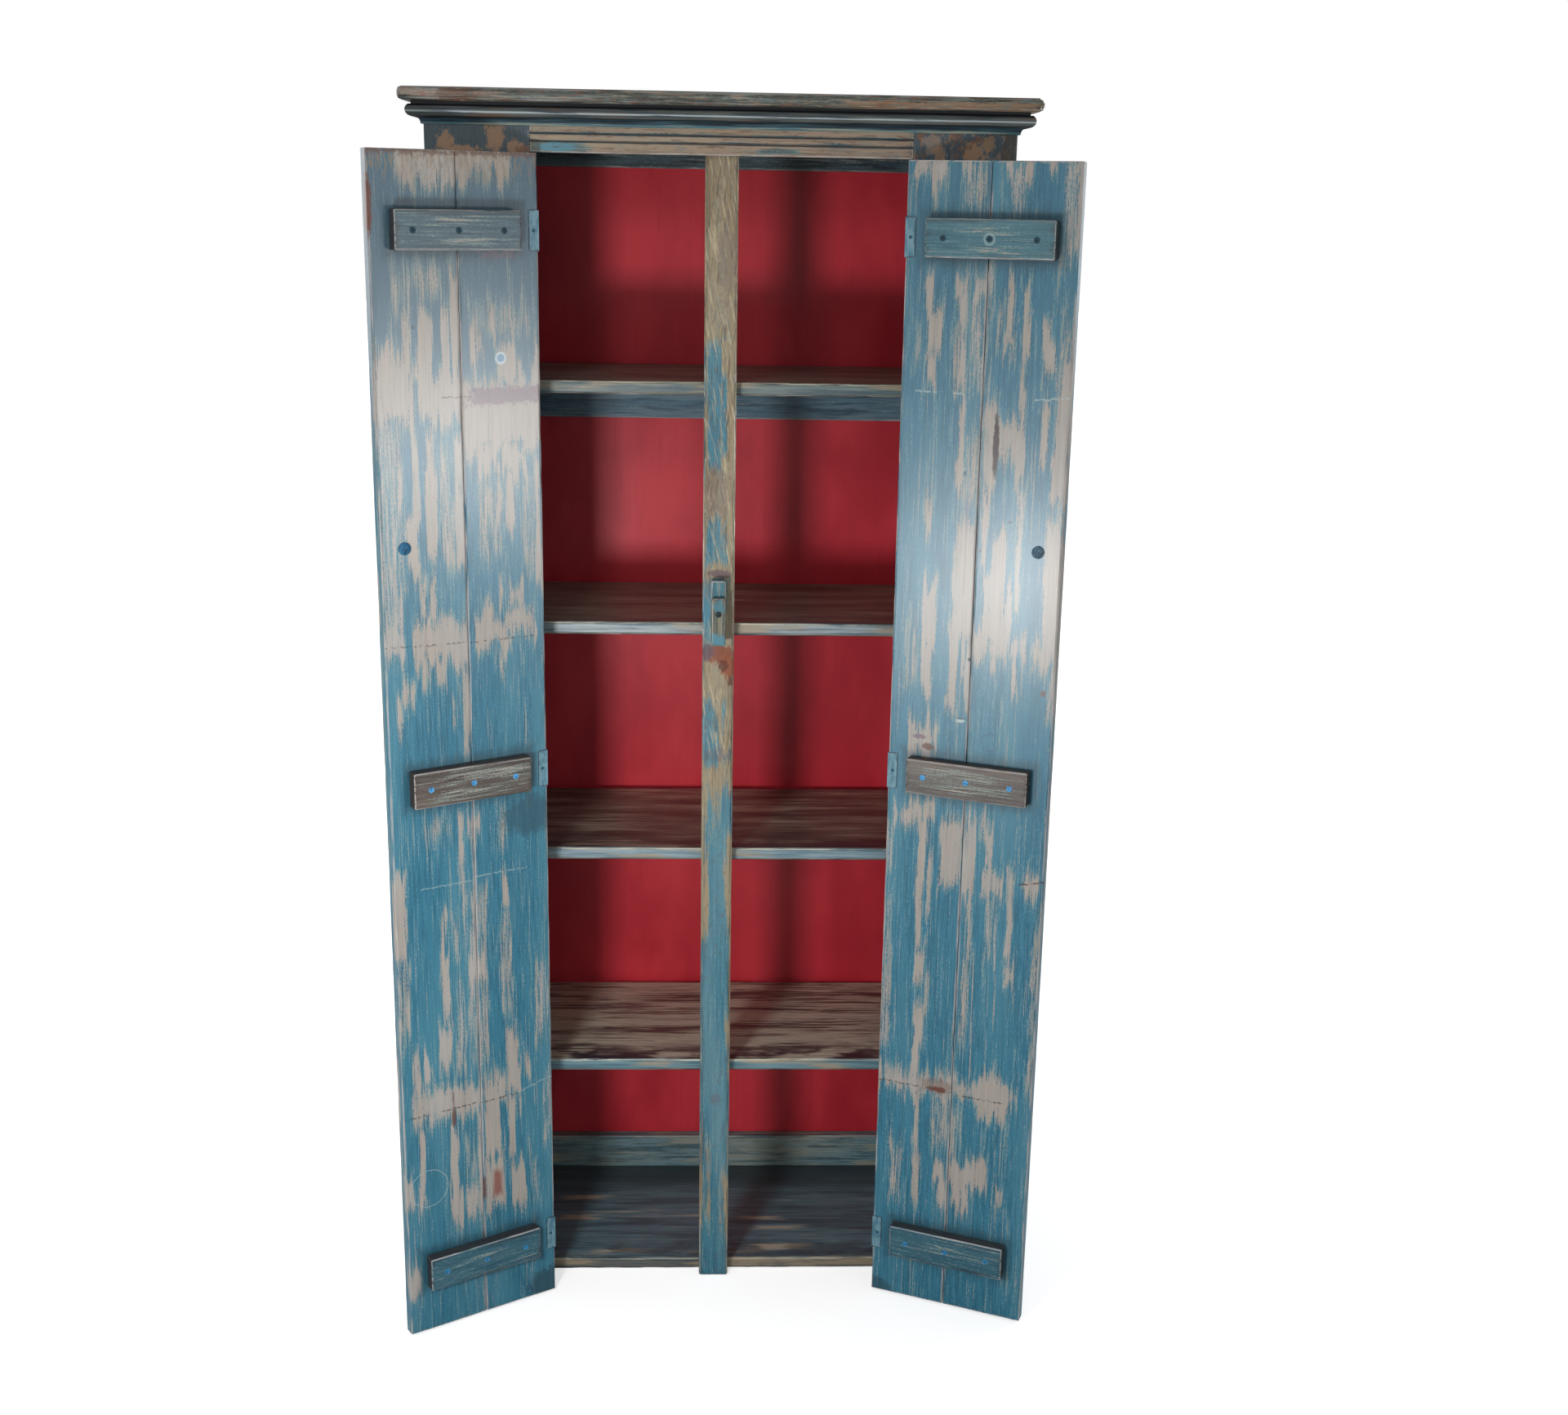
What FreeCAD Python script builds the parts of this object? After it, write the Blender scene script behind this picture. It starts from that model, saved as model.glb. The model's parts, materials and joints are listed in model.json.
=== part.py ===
import FreeCAD, Part
import Sketcher
import os

# A trastero: a tall painted pantry cabinet with two plank doors, a centre post with a turn
# button, four shelves and a moulded cornice.
# Lengths are in millimetres and angles in degrees. X runs to the right seen from the front,
# Y runs from the front to the back, Z runs up. The origin is on the floor, in the middle of
# the carcass's footprint. The doors are drawn open, as they stand in the photograph.

SIZES = {
    # Carcass, from the frame's front face to the back panel's rear face
    "carcass_width": 812.8,
    "carcass_depth": 370.0,
    "total_height": 1829.0,
    "board_ease": 1.5,
    # Front frame
    "stile_width": 143.2,
    "frame_thickness": 19.5,
    "frieze_height": 64.0,
    "groove_drop": 38.6,
    "groove_spacing": 10.4,
    "groove_width": 3.2,
    "groove_depth": 2.2,
    "post_width": 46.4,
    "post_thickness": 22.0,
    # Boards of the box
    "side_thickness": 19.0,
    "bottom_thickness": 19.0,
    "shelf_thickness": 19.0,
    "top_bay_height": 375.6,
    "back_thickness": 4.0,
    "back_reveal": 3.0,
    "rail_thickness": 19.0,
    "rail_height": 76.2,
    "middle_rail_show": 67.0,
    # Cleats that carry the shelves
    "cleat_thickness": 19.0,
    "cleat_height": 38.0,
    "cleat_setback": 12.0,
    "cleat_screw_inset": 40.0,
    # Cornice
    "cap_thickness": 18.0,
    "cap_overhang": 31.0,
    "cap_ease": 4.5,
    "crown_height": 29.3,
    "crown_reach": 21.5,
    # Doors
    "door_gap": 3.2,
    "door_stop_gap": 1.0,
    "door_thickness": 18.5,
    "door_width": 243.5,
    "door_foot_gap": 4.2,
    "door_head_gap": 1.2,
    "hinge_plank_width": 118.5,
    "plank_gap": 0.6,
    "plank_ease": 1.0,
    "left_open_angle": 148.8,
    "right_open_angle": 156.4,
    # Battens across the doors' inner faces
    "batten_length": 182.0,
    "batten_height": 53.0,
    "batten_thickness": 19.0,
    "batten_inset": 33.0,
    "batten_end_inset": 102.3,
    "batten_ease": 2.6,
    "batten_screw_spacing": 65.5,
    # Hinges
    "knuckle_radius": 2.9,
    "knuckle_setback": 0.1,
    "knuckle_gap": 0.3,
    "leaf_thickness": 1.2,
    "leaf_height": 55.0,
    "leaf_wrap": 14.0,
    "leaf_depth": 15.0,
    "leaf_corner": 3.5,
    "leaf_root_gap": 0.3,
    "leaf_screw_spacing": 34.0,
    "pin_radius": 1.5,
    "pin_tip_radius": 2.5,
    "pin_tip_height": 1.6,
    # Knobs
    "knob_radius": 16.0,
    "knob_projection": 28.0,
    "knob_neck_radius": 7.0,
    "knob_foot_radius": 10.0,
    "knob_inset": 34.3,
    "knob_height": 1219.5,
    "knob_screw_bite": 14.0,
    # Latch on the centre post
    "block_width": 21.4,
    "block_height": 80.0,
    "block_proud": 1.0,
    "block_rise": 47.0,
    "button_width": 21.0,
    "button_height": 70.5,
    "button_thickness": 12.0,
    "button_ease": 3.0,
    "button_gap": 0.3,
    "button_screw_bite": 14.0,
    "pivot_height": 1106.0,
    "pivot_drop": 23.3,
    # Wood screws, small leaf screws, pan head screws and nails
    "wood_screw_radius": 2.0,
    "wood_screw_head_radius": 4.2,
    "wood_screw_length": 32.0,
    "wood_screw_sink": 0.4,
    "leaf_screw_radius": 1.3,
    "leaf_screw_length": 12.0,
    "pan_head_radius": 8.9,
    "pan_head_height": 3.8,
    "button_head_radius": 4.3,
    "button_head_height": 2.4,
    "recess_depth": 1.3,
    "nail_radius": 1.0,
    "nail_head_radius": 2.6,
    "nail_head_height": 1.0,
    "nail_length": 20.0,
    "nail_inset": 60.0,
    "cap_nail_length": 38.0,
    # Clearances
    "screw_clearance": 0.1,
    "tip_clearance": 0.5,
    "pin_clearance": 0.06,
    "cut_overrun": 2.0,
}

SHELVES = 4
HINGES = 3
BATTEN_SCREWS = 3
CLEAT_SCREWS = 2
LEAF_SCREWS = 2
NAILS_UP_SIDE = 8
CAP_NAILS_DEEP = 3
GROOVES = 2

# The crown's outline from its lower back edge upwards: how far out, as a share of its reach,
# and how far up, as a share of its height. The cove and the bead are arcs through a middle
# point.
CROWN_PROFILE_SHARES = [
    (0.0, 0.0), (0.16, 0.0), (0.42, 0.30), (0.55, 0.30),
    (0.80, 0.85), (0.66, 0.85), (0.66, 1.0), (0.0, 1.0),
]
COVE_EDGE = 1
COVE_MIDDLE_SHARES = (0.22, 0.18)
BEAD_EDGE = 3
BEAD_MIDDLE_SHARES = (1.0, 0.62)

# The turned knob's waist, rim and flattened dome: radii as shares of the knob's radius,
# heights as shares of its projection.
KNOB_FOOT_SHARE = 0.10
KNOB_NECK_SHARE = 0.24
KNOB_RIM_LOW_SHARE = 0.58
KNOB_RIM_HIGH_SHARE = 0.74
KNOB_FLAT_SHARE = 0.35
KNOB_FLARE_EDGE = 3
KNOB_FLARE_SHARES = (0.62, 0.42)
KNOB_DOME_EDGE = 5
KNOB_DOME_SHARES = (0.747, 0.929)

# The cross of a driver slot and the flat of a pan head, as shares of the head's size.
RECESS_LENGTH_SHARE = 0.62
RECESS_WIDTH_SHARE = 0.16
PAN_FLAT_SHARE = 0.55
PAN_SHOULDER_SHARE = 0.45


class Size:
    """A size that keeps its formula for the sheet beside its value."""

    def __init__(self, text, number):
        self.text = text
        self.number = number

    def __add__(self, other):
        other = as_size(other)
        return Size(f"({self.text} + {other.text})", self.number + other.number)

    def __sub__(self, other):
        other = as_size(other)
        return Size(f"({self.text} - {other.text})", self.number - other.number)

    def __mul__(self, other):
        other = as_size(other)
        return Size(f"({self.text} * {other.text})", self.number * other.number)

    def __truediv__(self, other):
        other = as_size(other)
        return Size(f"({self.text} / {other.text})", self.number / other.number)

    def __neg__(self):
        return self * -1

    __rmul__ = __mul__


def as_size(value):
    return value if isinstance(value, Size) else Size(f"({value!r})", float(value))


class Drawing:
    """Holds each driving dimension under its own name."""


doc = FreeCAD.newDocument("trastero")
sheet = doc.addObject("Spreadsheet::Sheet", "Sizes")
for row, (name, value) in enumerate(SIZES.items(), start=1):
    sheet.set(f"A{row}", name)
    sheet.set(f"B{row}", str(value))
    sheet.setAlias(f"B{row}", name)
doc.recompute()

d = Drawing()
for name in SIZES:
    setattr(d, name, Size(f"Sizes.{name}", float(sheet.get(name))))

ZERO = as_size(0)

# Planes that several pieces share
half = d.carcass_width / 2
front = -d.carcass_depth / 2
back = d.carcass_depth / 2
opening_half = half - d.stile_width
side_inner = half - d.side_thickness
post_front = front + d.frame_thickness
shelf_front = post_front + d.post_thickness
panel_front = back - d.back_thickness
rail_front = panel_front - d.rail_thickness
cap_underside = d.total_height - d.cap_thickness
frieze_bottom = cap_underside - d.frieze_height
shelf_spacing = (cap_underside - d.top_bay_height - d.bottom_thickness) / SHELVES

# Doors and hinges. In a door's own frame the hinge axis is at the origin, X runs along the
# closed door, Y runs from its outer to its inner face, and Z is zero halfway up.
door_height = frieze_bottom - d.door_head_gap - d.door_foot_gap
door_middle = d.door_foot_gap + door_height / 2
batten_spacing = (door_height - d.batten_end_inset * 2) / (HINGES - 1)
door_edge = d.door_gap / 2
door_outer = d.knuckle_radius + d.knuckle_setback
door_inner = door_outer + d.door_thickness
hinge_x = opening_half - d.door_gap / 2
hinge_y = post_front - d.door_stop_gap - door_inner
leaf_near = door_edge - d.leaf_thickness
leaf_root = d.knuckle_radius + d.leaf_root_gap
leaf_face = door_inner + d.leaf_thickness
leaf_screw_head = d.leaf_screw_radius + d.leaf_thickness
door_screw_x = door_edge + d.leaf_wrap / 2
frame_screw_y = leaf_root + d.leaf_depth / 2
leaf_bite = d.leaf_screw_length - d.leaf_thickness + d.tip_clearance

# Places of the cleats, the nails and the battens' screws
cleat_front = shelf_front + d.cleat_setback
cleat_length = rail_front - d.cleat_setback - cleat_front
cleat_screw_step = (cleat_length - d.cleat_screw_inset * 2) / (CLEAT_SCREWS - 1)
cleat_bite = d.wood_screw_length + d.wood_screw_sink - d.cleat_thickness + d.tip_clearance
nail_step = (cap_underside - d.nail_inset * 2) / (NAILS_UP_SIDE - 1)
nail_column = half - d.side_thickness / 2
cap_nail_step = (d.carcass_depth - d.nail_inset * 2) / (CAP_NAILS_DEEP - 1)
batten_x = door_edge + d.batten_inset
batten_screw_x = (batten_x + d.batten_length / 2
                  - d.batten_screw_spacing * (BATTEN_SCREWS - 1) / 2)
batten_bite = d.wood_screw_length + d.wood_screw_sink - d.batten_thickness + d.tip_clearance
block_face = front - d.block_proud
button_back = block_face - d.button_gap
block_top = d.pivot_height + d.block_rise
bore_radius = d.wood_screw_radius + d.screw_clearance

# Turns of a piece, as yaw, pitch and roll
UPRIGHT = (0, 0, 0)
FACING_FRONT = (0, 0, 90)
FACING_BACK = (0, 0, -90)
ALONG_SIDE = (90, 0, 90)
TO_THE_RIGHT = (0, 90, 0)
TO_THE_LEFT = (180, 90, 0)

pieces = {}


# Drawing helpers

def new_body(label):
    body = doc.addObject("PartDesign::Body", label)
    body.Label = label
    pieces[label] = body
    return body


def origin_feature(body, role):
    for feature in body.Origin.OriginFeatures:
        if feature.Role == role:
            return feature
    raise ValueError(role)


def new_sketch(body, role, lift=ZERO):
    """A sketch on one of the body's planes, lifted along that plane's normal."""
    sketch = body.newObject("Sketcher::SketchObject", body.Name + "_sketch")
    sketch.AttachmentSupport = (origin_feature(body, role), [""])
    sketch.MapMode = "FlatFace"
    sketch.setExpression("AttachmentOffset.Base.z", lift.text)
    return sketch


def vector(point):
    return FreeCAD.Vector(point[0].number, point[1].number, 0)


def bind(sketch, constraint, size):
    index = sketch.addConstraint(constraint)
    sketch.setExpression(f"Constraints[{index}]", size.text)


def pin_point(sketch, geometry, position, point):
    """Holds a vertex or a centre at its two bound distances from the sketch's origin."""
    for kind, size in zip(("DistanceX", "DistanceY"), point):
        bind(sketch, Sketcher.Constraint(kind, -1, 1, geometry, position, size.number), size)


def draw_outline(sketch, points, arcs=None):
    """A closed outline. arcs maps an edge's number to a point in the middle of its arc."""
    arcs = arcs or {}
    ends = []
    for edge, point in enumerate(points):
        start = vector(point)
        finish = vector(points[(edge + 1) % len(points)])
        if edge not in arcs:
            ends.append((sketch.addGeometry(Part.LineSegment(start, finish), False), 1, 2))
            continue
        middle = vector(arcs[edge])
        turns_left = (middle - start).cross(finish - middle).z > 0
        if not turns_left:
            start, finish = finish, start
        arc = sketch.addGeometry(Part.Arc(start, middle, finish), False)
        mark = sketch.addGeometry(Part.Point(middle), True)
        pin_point(sketch, mark, 1, arcs[edge])
        sketch.addConstraint(Sketcher.Constraint("PointOnObject", mark, 1, arc))
        ends.append((arc, 1, 2) if turns_left else (arc, 2, 1))
    for edge, (index, start, finish) in enumerate(ends):
        following = ends[(edge + 1) % len(ends)]
        sketch.addConstraint(
            Sketcher.Constraint("Coincident", index, finish, following[0], following[1]))
        pin_point(sketch, index, start, points[edge])


def draw_circles(sketch, centres, radius):
    for point in centres:
        circle = Part.Circle(vector(point), FreeCAD.Vector(0, 0, 1), radius.number)
        index = sketch.addGeometry(circle, False)
        pin_point(sketch, index, 3, point)
        bind(sketch, Sketcher.Constraint("Radius", index, radius.number), radius)


def pad(body, sketch, length):
    feature = body.newObject("PartDesign::Pad", body.Name + "_pad")
    feature.Profile = (sketch, [""])
    feature.setExpression("Length", length.text)
    return feature


def pocket(body, sketch, depth=None, along_normal=False):
    """Cuts against the sketch's normal, or along it, and right through without a depth."""
    feature = body.newObject("PartDesign::Pocket", body.Name + "_pocket")
    feature.Profile = (sketch, [""])
    feature.Reversed = along_normal
    if depth is None:
        feature.Type = "ThroughAll"
    else:
        feature.setExpression("Length", depth.text)
    return feature


def drill(body, role, centres, radius, lift=ZERO, depth=None, along_normal=False):
    sketch = new_sketch(body, role, lift)
    draw_circles(sketch, centres, radius)
    return pocket(body, sketch, depth, along_normal)


def countersunk_holes(body, role, centres, radius, mouth, lift, along_normal=False):
    """Through holes with a conical seat for a screw's head at the sketch's plane."""
    sketch = new_sketch(body, role, lift)
    draw_circles(sketch, centres, radius)
    hole = body.newObject("PartDesign::Hole", body.Name + "_hole")
    hole.Profile = sketch
    hole.Reversed = along_normal
    doc.recompute()
    hole.DepthType = "ThroughAll"
    hole.ThreadType = "None"
    hole.HoleCutType = "Countersink"
    hole.HoleCutCustomValues = True
    hole.HoleCutCountersinkAngle = 90
    hole.setExpression("Diameter", (radius * 2).text)
    hole.setExpression("HoleCutDiameter", (mouth * 2).text)
    return hole


def ease_edges(body, feature, radius, edges=None):
    rounding = body.newObject("PartDesign::Fillet", body.Name + "_ease")
    rounding.Base = (feature, edges or ["Edge1"])
    rounding.UseAllEdges = edges is None
    rounding.setExpression("Radius", radius.text)
    return rounding


def board(label, wide, high, thick, ease=d.board_ease):
    """A board with a corner at its body's origin: wide in X, high in Y and thick in Z."""
    body = new_body(label)
    sketch = new_sketch(body, "XY_Plane")
    draw_outline(sketch, [(ZERO, ZERO), (wide, ZERO), (wide, high), (ZERO, high)])
    blank = pad(body, sketch, thick)
    doc.recompute()
    ease_edges(body, blank, ease)
    return body


def turned(label, outline, arcs=None):
    """A solid turned about Z from an outline of radii and heights."""
    body = new_body(label)
    sketch = new_sketch(body, "XZ_Plane")
    draw_outline(sketch, outline, arcs)
    feature = body.newObject("PartDesign::Revolution", body.Name + "_turned")
    feature.Profile = (sketch, [""])
    feature.ReferenceAxis = (sketch, ["V_Axis"])
    feature.Angle = 360
    return body


def repeat(body, *steps):
    """Repeats the whole body along its axes, one step after another: axis, count, spacing."""
    for axis, count, spacing in steps:
        backwards = spacing.number < 0
        pattern = body.newObject("PartDesign::LinearPattern", body.Name + "_pattern")
        pattern.TransformMode = "Whole shape"
        pattern.Direction = (origin_feature(body, axis), [""])
        pattern.Reversed = backwards
        pattern.Mode = "Spacing"
        pattern.Occurrences = count
        pattern.setExpression("Offset", (-spacing if backwards else spacing).text)
        body.Tip = pattern
        doc.recompute()


def placement_text(x, y, z, turn=UPRIGHT):
    place = "; ".join(as_size(size).text for size in (x, y, z))
    angles = "; ".join(as_size(angle).text for angle in turn)
    return f"placement(vector({place}); rotation({angles}))"


def put(body, x, y, z, turn=UPRIGHT, frame=None):
    """Sets a body's bound place, in the frame that it rides in."""
    text = placement_text(x, y, z, turn)
    body.setExpression("Placement", f"{frame} * {text}" if frame else text)


# Heights and rows that pieces of the carcass share

def shelf_underside(number):
    return d.bottom_thickness + shelf_spacing * number - d.shelf_thickness


def cleat_screw_rows():
    return [d.cleat_screw_inset + cleat_screw_step * screw for screw in range(CLEAT_SCREWS)]


def nail_heights():
    return [d.nail_inset + nail_step * nail for nail in range(NAILS_UP_SIDE)]


def cap_nail_rows():
    return [front + d.nail_inset + cap_nail_step * nail for nail in range(CAP_NAILS_DEEP)]


def hinge_heights():
    """Heights of the hinges and the battens from the door's middle, from the lowest up."""
    return [batten_spacing * (hinge - (HINGES - 1) / 2) for hinge in range(HINGES)]


# Carcass

def make_sides():
    shank = d.nail_radius + d.screw_clearance
    for name, corner_x, inner_lift, into_left in (
            ("left", -half, d.side_thickness, True), ("right", side_inner, ZERO, False)):
        side = board(name + "_side_panel", panel_front - post_front, cap_underside,
                     d.side_thickness)
        screws = [(cleat_front - post_front + row,
                   shelf_underside(number) - d.cleat_height / 2)
                  for number in range(1, SHELVES + 1) for row in cleat_screw_rows()]
        drill(side, "XY_Plane", screws, bore_radius, inner_lift, cleat_bite, not into_left)
        middle = d.side_thickness / 2
        drill(side, "YZ_Plane", [(height, middle) for height in nail_heights()], shank,
              panel_front - post_front, d.nail_length - d.back_thickness + d.tip_clearance)
        drill(side, "XZ_Plane", [(row - post_front, middle) for row in cap_nail_rows()], shank,
              -cap_underside, d.cap_nail_length - d.cap_thickness + d.tip_clearance, True)
        put(side, corner_x, post_front, ZERO, ALONG_SIDE)


def make_stiles():
    for name, corner_x, reveal, along_normal in (
            ("left", -half, d.stile_width, False), ("right", opening_half, ZERO, True)):
        stile = board(name + "_stile", d.stile_width, cap_underside, d.frame_thickness)
        depth = post_front - hinge_y - frame_screw_y
        pilots = [(door_middle + height + d.leaf_screw_spacing * end / 2, depth)
                  for height in hinge_heights() for end in (-1, 1)]
        drill(stile, "YZ_Plane", pilots, d.leaf_screw_radius + d.screw_clearance, reveal,
              leaf_bite, along_normal)
        put(stile, corner_x, post_front, ZERO, FACING_FRONT)


def make_frieze_rail():
    rail = board("frieze_rail", opening_half * 2, d.frieze_height, d.frame_thickness)
    face = d.frame_thickness
    for groove in range(GROOVES):
        middle = d.frieze_height - d.groove_drop - d.groove_spacing * groove
        low = middle - d.groove_width / 2
        high = middle + d.groove_width / 2
        sketch = new_sketch(rail, "YZ_Plane")
        draw_outline(sketch, [(low, face), (middle, face - d.groove_depth), (high, face),
                              (high, face + d.cut_overrun), (low, face + d.cut_overrun)])
        pocket(rail, sketch, None, True)
    put(rail, -opening_half, post_front, frieze_bottom, FACING_FRONT)


def make_center_post():
    post = board("center_post", d.post_width, cap_underside, d.post_thickness)
    drill(post, "XY_Plane", [(d.post_width / 2, d.pivot_height)], bore_radius,
          d.post_thickness, d.button_screw_bite + d.tip_clearance)
    put(post, -d.post_width / 2, shelf_front, ZERO, FACING_FRONT)


def make_floor_and_shelves():
    depth = rail_front - shelf_front
    bottom = board("bottom_board", side_inner * 2, depth, d.bottom_thickness)
    put(bottom, -side_inner, shelf_front, ZERO)
    for number in range(1, SHELVES + 1):
        shelf = board(f"shelf_{number}", side_inner * 2, depth, d.shelf_thickness)
        put(shelf, -side_inner, shelf_front, shelf_underside(number))


def make_cleats():
    mouth = d.wood_screw_head_radius + d.screw_clearance + d.wood_screw_sink
    screws = [(row, d.cleat_height / 2) for row in cleat_screw_rows()]
    for number in range(1, SHELVES + 1):
        for name, x, face, along_normal in (
                ("left", -side_inner, d.cleat_thickness, False),
                ("right", side_inner - d.cleat_thickness, ZERO, True)):
            cleat = board(f"{name}_cleat_{number}", cleat_length, d.cleat_height,
                          d.cleat_thickness)
            countersunk_holes(cleat, "XY_Plane", screws, bore_radius, mouth, face, along_normal)
            put(cleat, x, cleat_front, shelf_underside(number) - d.cleat_height, ALONG_SIDE)


def make_back():
    panel = board("back_panel", d.carcass_width - d.back_reveal * 2,
                  cap_underside - d.back_reveal * 2, d.back_thickness, d.board_ease / 2)
    nails = [(half - d.back_reveal + nail_column * side, height - d.back_reveal)
             for side in (-1, 1) for height in nail_heights()]
    drill(panel, "XY_Plane", nails, d.nail_radius + d.screw_clearance, ZERO, None, True)
    drill(panel, "XY_Plane", nails, d.nail_head_radius + d.screw_clearance, ZERO,
          d.nail_head_height, True)
    put(panel, d.back_reveal - half, back, d.back_reveal, FACING_FRONT)
    for name, height in (("bottom", ZERO),
                         ("middle", shelf_underside(SHELVES) - d.middle_rail_show),
                         ("top", cap_underside - d.rail_height)):
        rail = board(f"back_{name}_rail", side_inner * 2, d.rail_height, d.rail_thickness)
        put(rail, -side_inner, panel_front, height, FACING_FRONT)


# Cornice

def crown_run(label, length, mitred_start, mitred_end):
    """A run of moulding along X, with its back on Y zero and its face towards minus Y."""
    def profile(shares):
        return (-d.crown_reach * shares[0], d.crown_height * shares[1])

    body = new_body(label)
    sketch = new_sketch(body, "YZ_Plane")
    draw_outline(sketch, [profile(shares) for shares in CROWN_PROFILE_SHARES],
                 {COVE_EDGE: profile(COVE_MIDDLE_SHARES), BEAD_EDGE: profile(BEAD_MIDDLE_SHARES)})
    pad(body, sketch, length)
    over = d.cut_overrun
    corner = d.crown_reach + over
    for cut, end, inwards in ((mitred_start, ZERO, 1), (mitred_end, length, -1)):
        if cut:
            mitre = new_sketch(body, "XY_Plane")
            draw_outline(mitre, [(end - over * inwards, -corner), (end + corner * inwards, over),
                                 (end - over * inwards, over)])
            pocket(body, mitre, None, True)
    return body


def make_cornice():
    base = cap_underside - d.crown_height
    across = crown_run("crown_front", d.carcass_width + d.crown_reach * 2, True, True)
    put(across, -half - d.crown_reach, front, base)
    depth = d.carcass_depth + d.crown_reach
    left = crown_run("crown_left", depth, False, True)
    put(left, -half, back, base, (-90, 0, 0))
    right = crown_run("crown_right", depth, True, False)
    put(right, half, front - d.crown_reach, base, (90, 0, 0))

    cap = board("cornice_cap", d.carcass_width + d.cap_overhang * 2,
                d.carcass_depth + d.cap_overhang, d.cap_thickness, d.cap_ease)
    nails = [(half + d.cap_overhang + nail_column * side, row - front + d.cap_overhang)
             for side in (-1, 1) for row in cap_nail_rows()]
    drill(cap, "XY_Plane", nails, d.nail_radius + d.screw_clearance, d.cap_thickness)
    drill(cap, "XY_Plane", nails, d.nail_head_radius + d.screw_clearance, d.cap_thickness,
          d.nail_head_height)
    put(cap, -half - d.cap_overhang, front - d.cap_overhang, cap_underside)


# Fasteners. Each stands along Z, with its head's underside or its flat face at zero.

def cross_recess(body, head_radius, top):
    """The driver's cross in a screw's head."""
    long = head_radius * RECESS_LENGTH_SHARE
    short = head_radius * RECESS_WIDTH_SHARE
    sketch = new_sketch(body, "XY_Plane", top)
    draw_outline(sketch, [
        (short, short), (long, short), (long, -short), (short, -short),
        (short, -long), (-short, -long), (-short, -short), (-long, -short),
        (-long, short), (-short, short), (-short, long), (short, long),
    ])
    pocket(body, sketch, d.recess_depth)


def pan_screw(label, head_radius, head_height, length):
    radius = d.wood_screw_radius
    body = turned(label, [
        (ZERO, -length), (radius, radius - length), (radius, ZERO), (head_radius, ZERO),
        (head_radius, head_height * PAN_SHOULDER_SHARE),
        (head_radius * PAN_FLAT_SHARE, head_height), (ZERO, head_height),
    ])
    cross_recess(body, head_radius, head_height)
    return body


def flat_screw(label, radius, head_radius, length):
    body = turned(label, [
        (ZERO, -length), (radius, radius * 2 - length), (radius, radius - head_radius),
        (head_radius, ZERO), (ZERO, ZERO),
    ])
    cross_recess(body, head_radius, ZERO)
    return body


def nail(label, length):
    radius = d.nail_radius
    return turned(label, [
        (ZERO, -length), (radius, radius * 2 - length), (radius, -d.nail_head_height),
        (d.nail_head_radius, -d.nail_head_height), (d.nail_head_radius, ZERO), (ZERO, ZERO),
    ])


def make_carcass_fasteners():
    head_x = side_inner - d.cleat_thickness + d.wood_screw_sink
    first = cleat_front + cleat_screw_rows()[0]
    height = shelf_underside(1) - d.cleat_height / 2
    for name, x, turn, step in (("left", -head_x, TO_THE_RIGHT, cleat_screw_step),
                                ("right", head_x, TO_THE_LEFT, -cleat_screw_step)):
        screws = flat_screw(name + "_cleat_screws", d.wood_screw_radius,
                            d.wood_screw_head_radius, d.wood_screw_length)
        repeat(screws, ("Y_Axis", CLEAT_SCREWS, step), ("X_Axis", SHELVES, -shelf_spacing))
        put(screws, x, first, height, turn)

    nails = nail("back_panel_nails", d.nail_length)
    repeat(nails, ("X_Axis", 2, nail_column * 2), ("Y_Axis", NAILS_UP_SIDE, -nail_step))
    put(nails, -nail_column, back, d.nail_inset, FACING_BACK)

    nails = nail("cap_nails", d.cap_nail_length)
    repeat(nails, ("X_Axis", 2, nail_column * 2), ("Y_Axis", CAP_NAILS_DEEP, cap_nail_step))
    put(nails, -nail_column, front + d.nail_inset, d.total_height)


# Latch

def make_latch():
    thickness = post_front - block_face
    block = board("latch_block", d.block_width, d.block_height, thickness)
    drill(block, "XY_Plane",
          [(d.block_width / 2, d.block_height - d.block_rise)], bore_radius, ZERO, None, True)
    put(block, -d.block_width / 2, post_front, block_top - d.block_height, FACING_FRONT)

    button = board("turn_button", d.button_width, d.button_height, d.button_thickness,
                   d.button_ease)
    pivot = d.button_height - d.pivot_drop
    drill(button, "XY_Plane", [(d.button_width / 2, pivot)], bore_radius, ZERO, None, True)
    put(button, -d.button_width / 2, button_back, d.pivot_height - pivot, FACING_FRONT)

    shank = d.button_gap * 2 + d.button_thickness + thickness + d.button_screw_bite
    screw = pan_screw("turn_button_screw", d.button_head_radius, d.button_head_height, shank)
    put(screw, ZERO, button_back - d.button_thickness - d.button_gap, d.pivot_height,
        FACING_FRONT)


# Hinges

def add_knuckles(body, spans, side):
    """Barrels about the hinge axis, each joined to its leaf. side is 1 on the door's leaf."""
    for low, high in spans:
        sketch = new_sketch(body, "XY_Plane", low)
        draw_circles(sketch, [(ZERO, ZERO)], d.knuckle_radius)
        pad(body, sketch, high - low)
        sketch = new_sketch(body, "XY_Plane", low)
        reach = leaf_root + d.leaf_thickness
        draw_outline(sketch, [(leaf_near * side, ZERO), (door_edge * side, ZERO),
                              (door_edge * side, reach), (leaf_near * side, reach)])
        pad(body, sketch, high - low)
    drill(body, "XY_Plane", [(ZERO, ZERO)], d.pin_radius + d.pin_clearance,
          -d.leaf_height / 2 - d.cut_overrun, None, True)


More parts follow.
